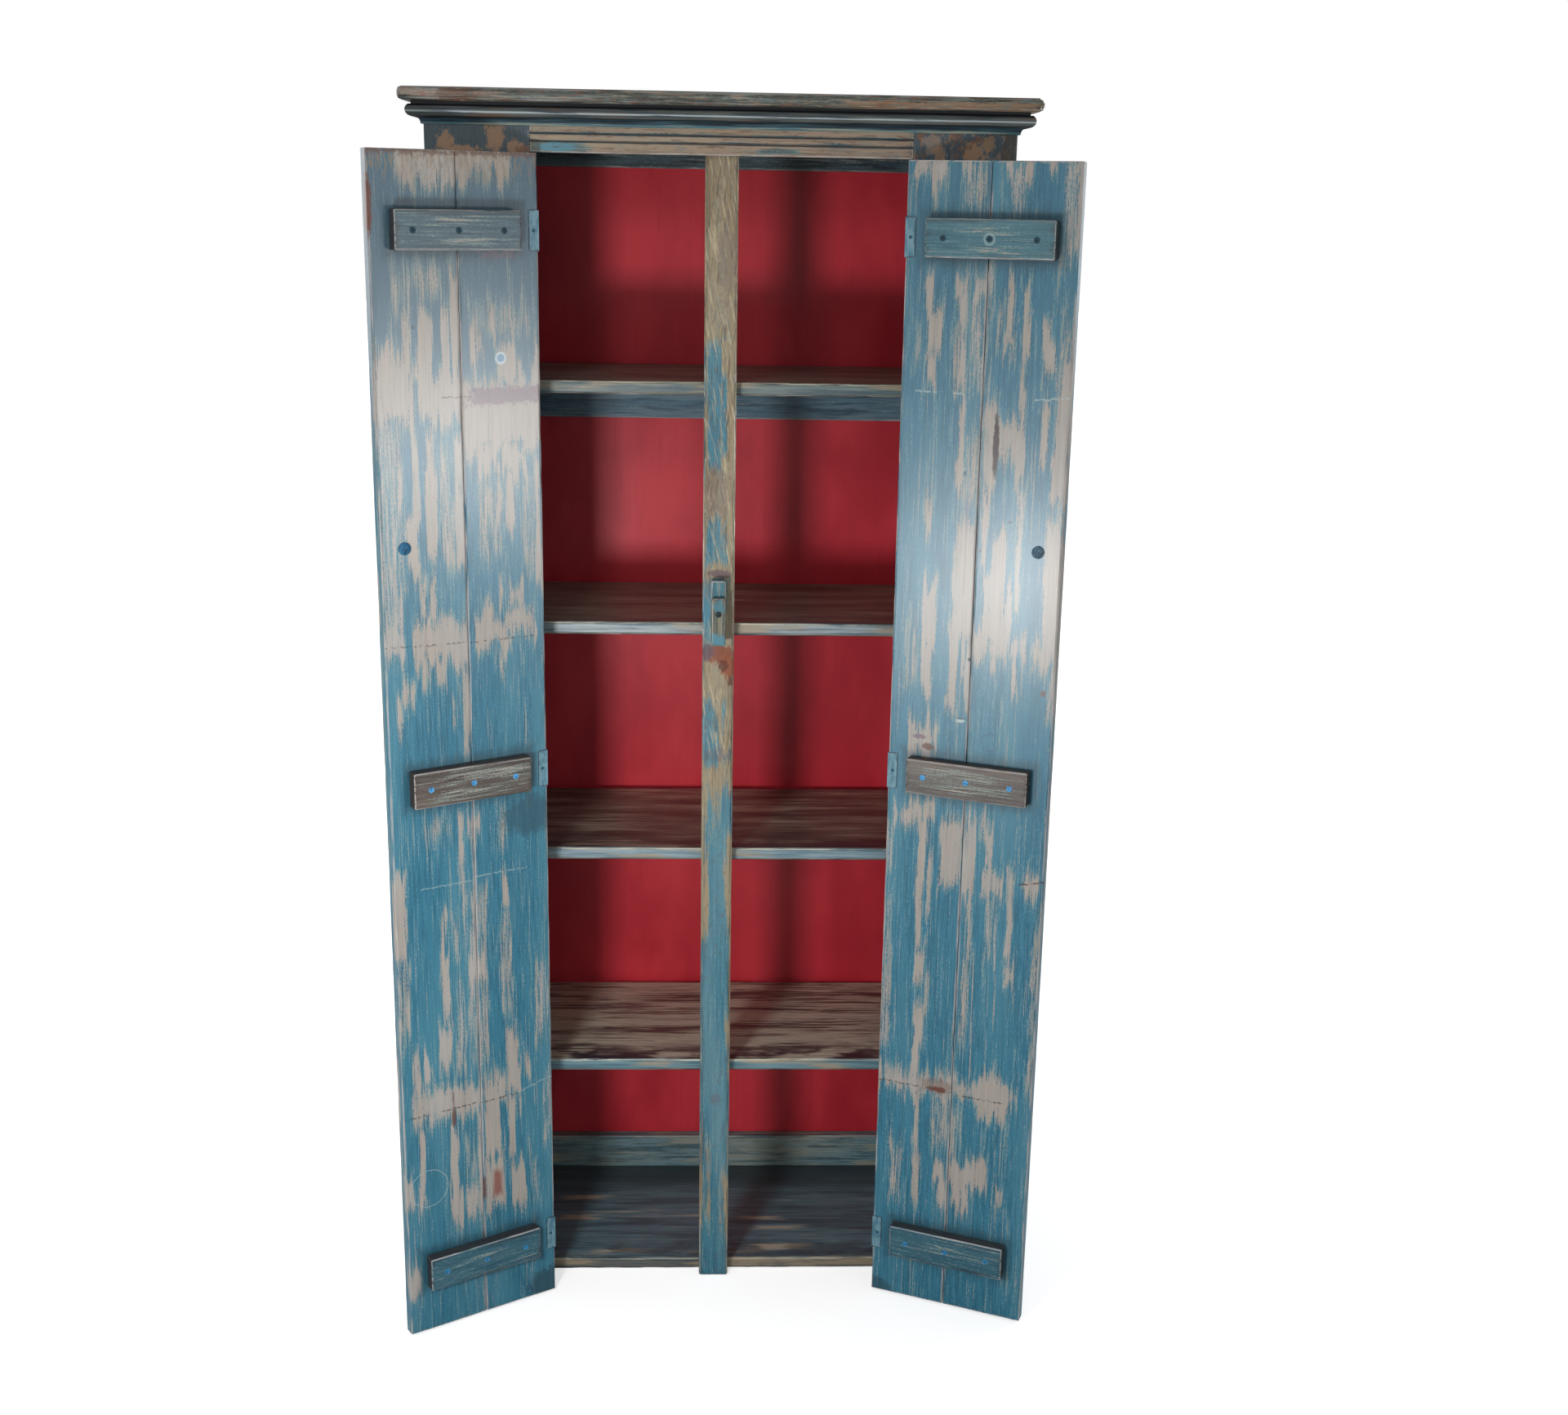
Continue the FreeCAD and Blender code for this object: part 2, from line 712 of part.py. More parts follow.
def corner_edges(shape, axis, place):
    """Names of the edges across a leaf's thickness at its free corners."""
    tolerance = d.leaf_thickness.number / 100
    names = []
    for number, edge in enumerate(shape.Edges, start=1):
        box = edge.BoundBox
        size = {"X": box.XLength, "Y": box.YLength}[axis]
        middle = {"X": box.Center.x, "Y": box.Center.y}[axis]
        if max(size, box.ZLength, abs(middle - place.number)) < tolerance:
            names.append(f"Edge{number}")
    return names


def plate(label, outline, axis, free_end):
    """A leaf's bent plate with its free corners rounded."""
    body = new_body(label)
    sketch = new_sketch(body, "XY_Plane", -d.leaf_height / 2)
    draw_outline(sketch, outline)
    blank = pad(body, sketch, d.leaf_height)
    doc.recompute()
    ease_edges(body, blank, d.leaf_corner, corner_edges(blank.Shape, axis, free_end))
    return body


def make_door_leaves(name, frame):
    """The leaf that wraps from the door's edge onto its inner face."""
    wrap = door_edge + d.leaf_wrap
    body = plate(name + "_door_leaves", [
        (leaf_near, leaf_root), (door_edge, leaf_root), (door_edge, door_inner),
        (wrap, door_inner), (wrap, leaf_face), (leaf_near, leaf_face)], "X", wrap)
    third = d.leaf_height / 6 - d.knuckle_gap / 2
    add_knuckles(body, [(-third, third)], 1)
    countersunk_holes(body, "XZ_Plane", [(door_screw_x, ZERO)],
                      d.leaf_screw_radius + d.screw_clearance,
                      leaf_screw_head + d.screw_clearance, -leaf_face, True)
    doc.recompute()
    repeat(body, ("Z_Axis", HINGES, batten_spacing))
    put(body, ZERO, ZERO, -batten_spacing, UPRIGHT, frame)

    screws = flat_screw(name + "_door_leaf_screws", d.leaf_screw_radius, leaf_screw_head,
                        d.leaf_screw_length)
    repeat(screws, ("Y_Axis", HINGES, batten_spacing))
    put(screws, door_screw_x, leaf_face, batten_spacing, FACING_BACK, frame)


def make_frame_leaves(name, frame):
    """The flat leaf on the stile's reveal."""
    low = -d.leaf_height / 2
    free_end = leaf_root + d.leaf_depth
    body = plate(name + "_frame_leaves", [
        (-door_edge, leaf_root), (-leaf_near, leaf_root), (-leaf_near, free_end),
        (-door_edge, free_end)], "Y", free_end)
    third = d.leaf_height / 6 + d.knuckle_gap / 2
    add_knuckles(body, [(low, -third), (third, -low)], -1)
    countersunk_holes(body, "YZ_Plane",
                      [(frame_screw_y, d.leaf_screw_spacing * end / 2) for end in (-1, 1)],
                      d.leaf_screw_radius + d.screw_clearance,
                      leaf_screw_head + d.screw_clearance, -leaf_near)
    doc.recompute()
    repeat(body, ("Z_Axis", HINGES, batten_spacing))
    put(body, ZERO, ZERO, -batten_spacing, UPRIGHT, frame)

    screws = flat_screw(name + "_frame_leaf_screws", d.leaf_screw_radius, leaf_screw_head,
                        d.leaf_screw_length)
    repeat(screws, ("X_Axis", LEAF_SCREWS, d.leaf_screw_spacing),
           ("X_Axis", HINGES, batten_spacing))
    put(screws, -leaf_near, frame_screw_y, batten_spacing + d.leaf_screw_spacing / 2,
        TO_THE_RIGHT, frame)


def make_hinge_pins():
    seat = d.leaf_height / 2 + d.pin_clearance
    tip = seat + d.pin_tip_height
    pins = turned("hinge_pins", [
        (ZERO, -tip), (d.pin_radius, -tip), (d.pin_tip_radius, -seat - d.pin_tip_height / 2),
        (d.pin_tip_radius, -seat), (d.pin_radius, -seat), (d.pin_radius, seat),
        (d.pin_tip_radius, seat), (d.pin_tip_radius, seat + d.pin_tip_height / 2),
        (d.pin_radius, tip), (ZERO, tip),
    ])
    repeat(pins, ("X_Axis", 2, hinge_x * 2), ("Z_Axis", HINGES, batten_spacing))
    put(pins, -hinge_x, hinge_y, door_middle - batten_spacing)


# Doors. up is 1 where the door's frame stands upright and -1 where it is turned over.

def make_planks(name, frame, up):
    height_low = -door_height / 2
    second_x = door_edge + d.hinge_plank_width + d.plank_gap
    second_width = d.door_width - d.hinge_plank_width - d.plank_gap
    knob_x = door_edge + d.door_width - d.knob_inset
    knob_z = (d.knob_height - door_middle) * up
    for label, x, width in (("hinge", door_edge, d.hinge_plank_width),
                            ("free", second_x, second_width)):
        plank = board(f"{name}_{label}_plank", width, door_height, d.door_thickness,
                      d.plank_ease)
        pilots = []
        for screw in range(BATTEN_SCREWS):
            along = batten_screw_x + d.batten_screw_spacing * screw - x
            if 0 < along.number < width.number:
                pilots += [(along, height - height_low) for height in hinge_heights()]
        drill(plank, "XY_Plane", pilots, bore_radius, ZERO, batten_bite, True)
        if label == "hinge":
            leaf_pilots = [(door_screw_x - x, height - height_low) for height in hinge_heights()]
            drill(plank, "XY_Plane", leaf_pilots, d.leaf_screw_radius + d.screw_clearance,
                  ZERO, leaf_bite, True)
        else:
            drill(plank, "XY_Plane", [(knob_x - x, knob_z - height_low)], bore_radius, ZERO,
                  None, True)
        put(plank, x, door_inner, height_low, FACING_FRONT, frame)


def make_battens(name, frame, up):
    mouth = d.wood_screw_head_radius + d.screw_clearance + d.wood_screw_sink
    screws = [(batten_screw_x - batten_x + d.batten_screw_spacing * screw, d.batten_height / 2)
              for screw in range(BATTEN_SCREWS)]
    for label, level in (("bottom", -1), ("middle", 0), ("top", 1)):
        batten = board(f"{name}_{label}_batten", d.batten_length, d.batten_height,
                       d.batten_thickness, d.batten_ease)
        countersunk_holes(batten, "XY_Plane", screws, bore_radius, mouth, d.batten_thickness)
        height = batten_spacing * (level * up) + d.batten_height / 2
        put(batten, batten_x, door_inner, height, FACING_BACK, frame)

    fasteners = flat_screw(name + "_batten_screws", d.wood_screw_radius,
                           d.wood_screw_head_radius, d.wood_screw_length)
    repeat(fasteners, ("X_Axis", BATTEN_SCREWS, d.batten_screw_spacing),
           ("Y_Axis", HINGES, batten_spacing))
    put(fasteners, batten_screw_x, door_inner + d.batten_thickness - d.wood_screw_sink,
        batten_spacing, FACING_BACK, frame)


def make_knob(name, frame, up):
    radius, reach = d.knob_radius, d.knob_projection
    knob = turned(name + "_knob", [
        (ZERO, ZERO), (d.knob_foot_radius, ZERO),
        (d.knob_foot_radius, reach * KNOB_FOOT_SHARE),
        (d.knob_neck_radius, reach * KNOB_NECK_SHARE), (radius, reach * KNOB_RIM_LOW_SHARE),
        (radius, reach * KNOB_RIM_HIGH_SHARE), (radius * KNOB_FLAT_SHARE, reach), (ZERO, reach),
    ], {
        KNOB_FLARE_EDGE: (radius * KNOB_FLARE_SHARES[0], reach * KNOB_FLARE_SHARES[1]),
        KNOB_DOME_EDGE: (radius * KNOB_DOME_SHARES[0], reach * KNOB_DOME_SHARES[1]),
    })
    drill(knob, "XY_Plane", [(ZERO, ZERO)], bore_radius, ZERO,
          d.knob_screw_bite + d.tip_clearance, True)
    x = door_edge + d.door_width - d.knob_inset
    height = (d.knob_height - door_middle) * up
    put(knob, x, door_outer, height, FACING_FRONT, frame)

    screw = pan_screw(name + "_knob_screw", d.pan_head_radius, d.pan_head_height,
                      d.door_thickness + d.knob_screw_bite)
    put(screw, x, door_inner, height, FACING_BACK, frame)


def make_doors():
    for name, side, up, angle, flip in (("left", -1, 1, -d.left_open_angle, 0),
                                        ("right", 1, -1, d.right_open_angle, 180)):
        swung = placement_text(hinge_x * side, hinge_y, door_middle, (angle, flip, 0))
        still = placement_text(hinge_x * side, hinge_y, door_middle, (0, flip, 0))
        make_planks(name, swung, up)
        make_battens(name, swung, up)
        make_door_leaves(name, swung)
        make_knob(name, swung, up)
        make_frame_leaves(name, still)


def check_and_export():
    doc.recompute()
    for item in doc.Objects:
        if "Invalid" in item.State or "Error" in item.State:
            raise RuntimeError(f"{item.Label} failed: {item.getStatusString()}")
    for label, body in pieces.items():
        if body.Shape.isNull() or not body.Shape.isValid() or not body.Shape.Solids:
            raise RuntimeError(f"{label} has no valid solid")
    os.makedirs("parts", exist_ok=True)
    for label, body in pieces.items():
        body.Shape.exportStep(f"parts/{label}.step")
        box = body.Shape.BoundBox
        print(f"{label}: {len(body.Shape.Solids)} solid(s), "
              f"{box.XLength:.1f} x {box.YLength:.1f} x {box.ZLength:.1f} mm")
    print(f"{len(pieces)} nodes")


make_sides()
make_stiles()
make_frieze_rail()
make_center_post()
make_floor_and_shelves()
make_cleats()
make_back()
make_cornice()
make_carcass_fasteners()
make_latch()
make_hinge_pins()
make_doors()
check_and_export()
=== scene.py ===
# %% [markdown]
# This lesson dresses a tall pantry cupboard: a narrow plank cabinet with two open doors, worn blue
# paint that is scraped through to tan wood, and a deep red back. The solid model comes first, as a
# frame that nothing here moves. Loading it, instead of modelling the cupboard again, keeps every
# size, joint and screw where the maker put it, and leaves this file free for looks.

# %% Load the solid model
import json
import math

import bmesh
import bpy
from mathutils import Matrix, Vector, noise


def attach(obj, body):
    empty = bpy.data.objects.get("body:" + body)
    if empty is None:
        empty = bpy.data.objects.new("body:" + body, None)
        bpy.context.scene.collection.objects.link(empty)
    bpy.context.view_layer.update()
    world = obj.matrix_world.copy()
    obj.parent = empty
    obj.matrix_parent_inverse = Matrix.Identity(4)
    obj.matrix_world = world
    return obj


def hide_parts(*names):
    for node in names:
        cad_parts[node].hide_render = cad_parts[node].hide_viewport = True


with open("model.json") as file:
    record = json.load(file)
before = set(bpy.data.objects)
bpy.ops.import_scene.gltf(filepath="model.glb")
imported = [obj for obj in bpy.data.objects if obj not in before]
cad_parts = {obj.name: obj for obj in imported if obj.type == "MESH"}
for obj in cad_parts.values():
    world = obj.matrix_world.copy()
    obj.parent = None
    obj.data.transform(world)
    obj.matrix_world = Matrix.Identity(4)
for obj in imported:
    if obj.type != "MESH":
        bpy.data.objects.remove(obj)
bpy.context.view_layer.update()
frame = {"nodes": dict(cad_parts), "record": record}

nodes = frame["nodes"]
record = frame["record"]
body_of = {node: body for body, members in record["behaviour"]["bodies"].items() for node in members}

# %% [markdown]
# The camera stands about 2.9 m in front of the cupboard at eye height, and looks down a little. It
# could be aimed with a constraint at an empty, but a photograph is seldom taken quite level, so the
# three angles are written out: turned to the right, tipped down, and rolled by one degree.

# %% Camera
PICTURE_WIDTH = 1920
SENSOR_WIDTH = 36.0
focal_pixels = 2282.7
camera_place = Vector((-0.0093, -2.8539, 1.6833))
yaw = math.radians(2.31)
pitch = math.radians(15.09)
roll = math.radians(1.02)

ahead = Vector((math.sin(yaw) * math.cos(pitch), math.cos(yaw) * math.cos(pitch), -math.sin(pitch)))
level_right = Vector((math.cos(yaw), -math.sin(yaw), 0))
level_up = level_right.cross(ahead)
right = level_right * math.cos(roll) + level_up * math.sin(roll)
up = level_up * math.cos(roll) - level_right * math.sin(roll)

camera_data = bpy.data.cameras.new("camera")
camera_data.sensor_width = SENSOR_WIDTH
camera_data.lens = SENSOR_WIDTH * focal_pixels / PICTURE_WIDTH
camera = bpy.data.objects.new("camera", camera_data)
turned = Matrix((right, up, -ahead)).transposed().to_4x4()
camera.matrix_world = Matrix.Translation(camera_place) @ turned
bpy.context.scene.collection.objects.link(camera)
bpy.context.scene.camera = camera
print("lens", round(camera_data.lens, 1), "mm")

# %% [markdown]
# Worn paint is many thin layers: wood, paint, brown glaze, varnish. Each could be a picture painted
# by hand, but then it would fit one size only. Here every layer is shader maths, and maths reads best
# as plain expressions. So one small class stands for a number that changes over a surface, and adding
# or multiplying two of them adds the Math node that does it.

# %% Numbers that change over a surface
class Value:
    """A number, colour or vector that changes over a surface: one output of a node."""

    def __init__(self, finish, socket):
        self.finish = finish
        self.socket = socket

    def math(self, operation, *others):
        values = dict(enumerate((self, *others)))
        return self.finish.node("ShaderNodeMath", {"operation": operation}, values)

    def __add__(self, other):
        return self.math("ADD", other)

    __radd__ = __add__

    def __sub__(self, other):
        return self.math("SUBTRACT", other)

    def __rsub__(self, other):
        return self.finish.node("ShaderNodeMath", {"operation": "SUBTRACT"}, {0: other, 1: self})

    def __mul__(self, other):
        return self.math("MULTIPLY", other)

    __rmul__ = __mul__

    def __abs__(self):
        return self.math("ABSOLUTE")

    def least(self, other):
        return self.math("MINIMUM", other)

    def most(self, other):
        return self.math("MAXIMUM", other)

    def below(self, limit):
        return self.math("LESS_THAN", limit)

    def rise(self, low, high):
        """0 below low and 1 above high, with a soft step between."""
        if low > high:
            return 1 - self.rise(high, low)
        sockets = {"Value": self, "From Min": low, "From Max": high}
        return self.finish.node("ShaderNodeMapRange", {"interpolation_type": "SMOOTHSTEP"}, sockets)


# %% [markdown]
# A finish is a material that is built node by node. A new node takes four or five lines of plain
# Blender calls, so one method makes it from its kind, its settings and what goes into its sockets.
# Colours are written as a paint chart gives them, because that is how they are matched.

# %% Finishes
class Finish:
    """A material, or the world, that is built node by node."""

    def __init__(self, holder):
        holder.use_nodes = True
        self.holder = holder
        self.tree = holder.node_tree
        self.tree.nodes.clear()
        self.point = None

    def node(self, kind, settings=None, sockets=None, out=0):
        made = self.tree.nodes.new(kind)
        for name, value in (settings or {}).items():
            setattr(made, name, value)
        for name, value in (sockets or {}).items():
            if isinstance(value, Value):
                self.tree.links.new(value.socket, made.inputs[name])
            else:
                made.inputs[name].default_value = value
        return Value(self, made.outputs[out]) if len(made.outputs) else None

    def blend(self, under, over, factor):
        """The colour over laid on the colour under, as thickly as factor says."""
        sockets = {0: factor, 6: under, 7: over}
        return self.node("ShaderNodeMix", {"data_type": "RGBA"}, sockets, out=2)

    def noise(self, grain, fine, slow, detail=3.0, rough=0.55, shift=0.0, tilt=0.0):
        """Noise whose features are slow metres long along the grain and fine metres across it."""
        sizes = [slow if axis == grain else fine for axis in "XYZ"]
        scale = tuple(1 / size for size in sizes)
        place = (shift * 7.3, shift * 3.1, shift * 5.7)
        point = self.point
        if tilt:
            point = self.node("ShaderNodeMapping", {}, {"Vector": point, "Rotation": (0, tilt, 0)})
        moved = self.node("ShaderNodeMapping", {}, {"Vector": point, "Location": place, "Scale": scale})
        sockets = {"Vector": moved, "Scale": 1.0, "Detail": detail, "Roughness": rough}
        return self.node("ShaderNodeTexNoise", {}, sockets)

    def surface(self, colour, roughness, height=None, depth=0.0006, **same):
        """The shader: what changes over the surface, and in same what doesn't."""
        sockets = {"Base Color": colour, "Roughness": roughness}
        if height is not None:
            bump = {"Strength": 0.8, "Distance": depth, "Height": height}
            sockets["Normal"] = self.node("ShaderNodeBump", {}, bump)
        for name, value in same.items():
            sockets[name.replace("_", " ").title().replace("Ior", "IOR")] = value
        shader = self.node("ShaderNodeBsdfPrincipled", {}, sockets)
        self.node("ShaderNodeOutputMaterial", {}, {"Surface": shader})
        return self.holder


def linear_part(level):
    """One number of a paint chart, 0 to 255, as the linear number that a shader takes."""
    share = level / 255
    if level < 11:
        return share / 12.92
    return ((share + 0.055) / 1.055) ** 2.4


def paint_chip(red, green, blue):
    """A colour of a paint chart, solid, for a shader."""
    return (linear_part(red), linear_part(green), linear_part(blue), 1.0)


print("a middle grey of 128 becomes", round(linear_part(128), 4))

# %% [markdown]
# A door stands open at an angle, but its paint follows its own planks. Texture space could come from
# a UV map on each plank. Turning the coordinates back with one Mapping node is simpler and keeps them
# in metres: across the door from its hinge, through its thickness, and up from the floor.

# %% The doors' own axes
HINGE_X = 0.2616
HINGE_Y = -0.188
LEFT_OPEN = math.radians(-148.8)
RIGHT_OPEN = math.radians(-23.6)
PLANK_MIDDLE_DEPTH = 0.0122

stands = {
    "carcass": ((0, 0, 0), 0.0, 1),
    "turn_button": ((0, 0, 0), 0.0, 1),
    "left_door": ((-HINGE_X, HINGE_Y, 0), LEFT_OPEN, 1),
    "right_door": ((HINGE_X, HINGE_Y, 0), RIGHT_OPEN, -1),
}


def own_axes(body):
    """The matrix that takes a point in a body's own axes to where it stands."""
    place, turn, flip = stands[body]
    flipped = Matrix.Diagonal((1, flip, 1, 1))
    return Matrix.Translation(place) @ Matrix.Rotation(turn, 4, "Z") @ flipped


def own_box(node):
    """The node's lowest and highest corner in its body's own axes."""
    back = own_axes(body_of[node]).inverted()
    points = [back @ vertex.co for vertex in nodes[node].data.vertices]
    low = Vector([min(point[axis] for point in points) for axis in range(3)])
    high = Vector([max(point[axis] for point in points) for axis in range(3)])
    return low, high


hinge_low, hinge_high = own_box("left_hinge_plank")
print("left hinge plank, in its door's axes:", [round(c, 4) for c in (*hinge_low, *hinge_high)])

# %% [markdown]
# Every finish starts alike: it splits the door's own axes into three numbers, across, through and up.
# Most wear sits on the arrises. A Bevel node could find those, but it is slow and needs them to be in
# the mesh, so the distance to the nearest arris is worked out from the board's box.

# %% A finish on one solid
def start(node):
    """A finish whose point is in the body's own axes, with the point's three numbers."""
    finish = Finish(bpy.data.materials.new(node + "_finish"))
    place, turn, flip = stands[body_of[node]]
    loose = finish.node("ShaderNodeTexCoord", out="Object")
    sockets = {"Vector": loose, "Location": place, "Rotation": (0, 0, turn), "Scale": (1, flip, 1)}
    finish.point = finish.node("ShaderNodeMapping", {"vector_type": "TEXTURE"}, sockets)
    split = finish.node("ShaderNodeSeparateXYZ", {}, {0: finish.point}).socket.node
    finish.x, finish.y, finish.z = (Value(finish, split.outputs[axis]) for axis in range(3))
    return finish


def edge_distance(finish, low, high, rises=None):
    """Metres from the nearest arris of a board: the middle one of its three distances to a face."""
    middle = (low + high) / 2
    half = (high - low) / 2
    first = half.x - abs(finish.x - middle.x)
    second = half.y - abs(finish.y - middle.y)
    third = half.z - (rises if rises is not None else abs(finish.z - middle.z))
    smaller = first.least(second)
    larger = first.most(second)
    return smaller.most(larger.least(third))


# %% [markdown]
# The maker scraped the paint along the grain, by hand, so each bare patch is a bundle of strokes with
# ragged, tapering ends. A noise with a threshold would scatter such patches anywhere. Here each stroke
# is written down as a place across the board, the heights it runs between, and half its width, and
# noise that is stretched along the grain only frays it.

# %% Scraped strokes
STROKE_END = 0.16


def strokes_field(across, along, strokes, end=STROKE_END):
    """Metres outside the nearest stroke, negative inside; distances past its ends count less."""
    nearest = None
    for place, low, high, half in strokes:
        beside = abs(across - place) - half
        beyond = (abs(along - (low + high) / 2) - (high - low) / 2) * end
        away = beside.most(beyond)
        nearest = away if nearest is None else nearest.least(away)
    return nearest


def millimetres(strokes):
    """A list of strokes written in millimetres, in metres."""
    return [tuple(size / 1000 for size in stroke) for stroke in strokes]


print("a stroke in metres:", millimetres([(85, 1722, 1800, 36)]))

# %% [markdown]
# The paint isn't one blue. It runs from clean blue low on the doors to blue-grey at their tops, and the
# wood under it from tan to brown. Each tone gets one name, so that doors, frame and rails agree.

# %% Colours of the paint and the wood
BLUE = paint_chip(46, 113, 138)
BLUE_DEEP = paint_chip(34, 92, 114)
BLUE_PALE = paint_chip(78, 136, 154)
BLUE_GREY = paint_chip(80, 102, 116)
TEAL_DARK = paint_chip(36, 62, 74)
FRINGE = paint_chip(134, 156, 150)
BARE = paint_chip(169, 158, 148)
BARE_DARK = paint_chip(152, 136, 124)
BARE_PALE = paint_chip(181, 174, 170)
GLAZE_AND_SHADE = paint_chip(48, 36, 32)
RED_BROWN = paint_chip(98, 56, 42)
print("the door's blue is", [round(part, 3) for part in BLUE])

# %% [markdown]
# The finish itself is wood, thin paint, full paint, brown glaze and satin varnish, one over the other.
# Mixing several shaders would be heavy and hard to export, so one shader gets one colour that is laid
# up in steps. Strokes say where the paint is gone, and noise from fine specks to slow drifts frays them.

# %% The worn blue paint
# how far a stroke wanders across its board, in metres
STROKE_SWAY = 0.008
# the heights between which the blue turns grey
GREY_HEIGHTS = (1.18, 1.62)
# how deep the painted shade on a batten's sides begins behind its front face, in metres
SHADED_SIDE_DEPTHS = (0.0008, 0.0022)


def worn_paint(node, grain, bare_strokes=(), film_strokes=(), paint_strokes=(), marks=(), seed=0,
               across="x", tones=(BLUE, BLUE_DEEP, BLUE_PALE), bare=BARE, bare_dark=BARE_DARK,
               bare_pale=BARE_PALE, arris=BARE_PALE, wear=0.003, film=0.30, rained=0.55, fray_wide=0.018,
               grey=0.0, near=None, glaze_and_shade=0.75, edge_glaze=0.4, outer_shift=0.0, shaded_sides=False):
    """Blue paint scraped through to wood, with brown glaze and painted shade in the corners, under satin
    varnish.

    The strokes are bare wood, thin paint (film), and paint that was left standing. Wear is how far the
    arrises are rubbed, in metres. Outer_shift moves the pattern along the door's outer face, which
    then has no marks. The other numbers are strengths from 0 to 1."""
    finish = start(node)
    low, high = own_box(node)
    edge = edge_distance(finish, low, high)
    along = {"X": finish.x, "Y": finish.y, "Z": finish.z}[grain]
    side = {"x": finish.x, "y": finish.y, "z": finish.z}[across]
    broad = finish.noise(grain, 0.06, 0.45, 2, shift=seed)
    brush = finish.noise(grain, 0.0020, 0.055, 4, 0.6, shift=seed + 1)
    fray = finish.noise(grain, 0.0060, 0.11, 4, 0.6, shift=seed + 2)
    drift = finish.noise(grain, 0.012, 0.08, 4, shift=seed + 3)
    wood = finish.noise(grain, 0.0020, 0.14, 4, 0.6, shift=seed + 4)
    fleck = finish.noise(grain, 0.0013, 0.004, 3, 0.7, shift=seed + 5)
    thin_film = finish.noise(grain, 0.008, 0.24, 5, 0.6, shift=seed + 7)

    # how much paint is gone: nothing at 0, all of it at 1; the outer face has the same, moved along
    if outer_shift:
        along = along + finish.y.below(PLANK_MIDDLE_DEPTH) * outer_shift
    swayed = side + (drift - 0.5) * STROKE_SWAY
    ragged = (0.5 - drift) * fray_wide
    rain = finish.noise(grain, 0.0021, 0.20, 2, shift=seed + 8)
    cover = (thin_film.rise(0.46, 0.72) * film).most(rain.rise(0.56, 0.74) * rained)
    if film_strokes:
        away = strokes_field(swayed, along, film_strokes) + ragged
        cover = cover.most(away.rise(0.008, -0.003) * 0.52)
    if bare_strokes:
        away = strokes_field(swayed, along, bare_strokes) + ragged
        cover = cover.most(away.rise(0.007, -0.004))
    if paint_strokes:
        away = strokes_field(swayed, along, paint_strokes) + ragged * 0.5
        cover = cover * away.rise(-0.002, 0.004)
    scraped = cover * 1.2 + (fray - 0.5) * 1.3 + (brush - 0.5) * 1.3 + (fleck - 0.5) * 1.5
    bare_wood = scraped.rise(0.46, 0.86)
    thin_paint = scraped.rise(0.16, 0.56)
    rubbed = (edge + (fray - 0.5) * wear * 4).rise(wear, wear * 0.35)

    # colours from the wood up
    blue = finish.blend(tones[1], tones[0], brush.rise(0.34, 0.58))
    blue = finish.blend(blue, tones[2], broad.rise(0.42, 0.72) * 0.55)
    blue = finish.blend(blue, tones[2], fleck.rise(0.48, 0.70) * 0.36)
    if grey:
        blue = finish.blend(blue, BLUE_GREY, finish.z.rise(*GREY_HEIGHTS) * grey)
    blue = finish.blend(blue, FRINGE, thin_paint * brush.rise(0.36, 0.60) * 0.62)
    timber = finish.blend(bare, bare_dark, wood.rise(0.48, 0.72) * 0.7)
    timber = finish.blend(timber, bare_pale, broad.rise(0.46, 0.66) * 0.5)
    colour = finish.blend(blue, timber, bare_wood * (fray * 0.5 + 0.60).least(0.94))
    colour = finish.blend(colour, arris, rubbed * fray.rise(0.34, 0.52) * 0.85)
    dirt_and_shade = (edge + (drift - 0.5) * 0.03).rise(0.008, 0.0) * (1 - rubbed) * edge_glaze
    if near is not None:
        # painted shade with some glaze: the planks darken in the corners round the battens and in the
        # frieze's grooves
        corner_glaze_and_shade = (near(finish) + (drift - 0.5) * 0.030).rise(0.022, -0.004) * 0.9
        if outer_shift:
            corner_glaze_and_shade = corner_glaze_and_shade * finish.y.rise(PLANK_MIDDLE_DEPTH - 0.001, PLANK_MIDDLE_DEPTH)
        dirt_and_shade = dirt_and_shade.most(corner_glaze_and_shade)
    colour = finish.blend(colour, GLAZE_AND_SHADE if near is None else TEAL_DARK, dirt_and_shade * glaze_and_shade)
    if shaded_sides:
        # painted shade: a batten's sides, behind its front face, are darkened as if shaded
        sides = finish.y.rise(high.y - SHADED_SIDE_DEPTHS[0], high.y - SHADED_SIDE_DEPTHS[1])
        colour = finish.blend(colour, GLAZE_AND_SHADE, sides * 0.8)
    unmarked = colour
    for mark in marks:
        colour = mark(finish, colour, side, along, fray)
    if marks and outer_shift:
        colour = finish.blend(colour, unmarked, finish.y.below(PLANK_MIDDLE_DEPTH))

    height = wood * 0.6 + brush * 0.25 - bare_wood * 0.5 - rubbed * 0.6
    roughness = 0.42 + bare_wood * 0.16 + brush * 0.1
    return finish.surface(colour, roughness, height, depth=0.0005, coat_weight=0.28, coat_roughness=0.26,
                          specular_ior_level=0.12)


# %% [markdown]
# Knots, scratches and cracks are single events, so each is its own small mask: a ring is a distance
# from a circle, a crack a thin line across the grain, and a blot a ragged oval. They could be drawn as
# decals, but a mask in the same material takes no extra mesh and stays on the plank.

# %% Marks on the planks
def distance(finish, beside, beyond):
    """How long the way is that goes beside and then beyond."""
    corner = finish.node("ShaderNodeCombineXYZ", {}, {0: beside, 1: beyond})
    return finish.node("ShaderNodeVectorMath", {"operation": "LENGTH"}, {0: corner}, out="Value")


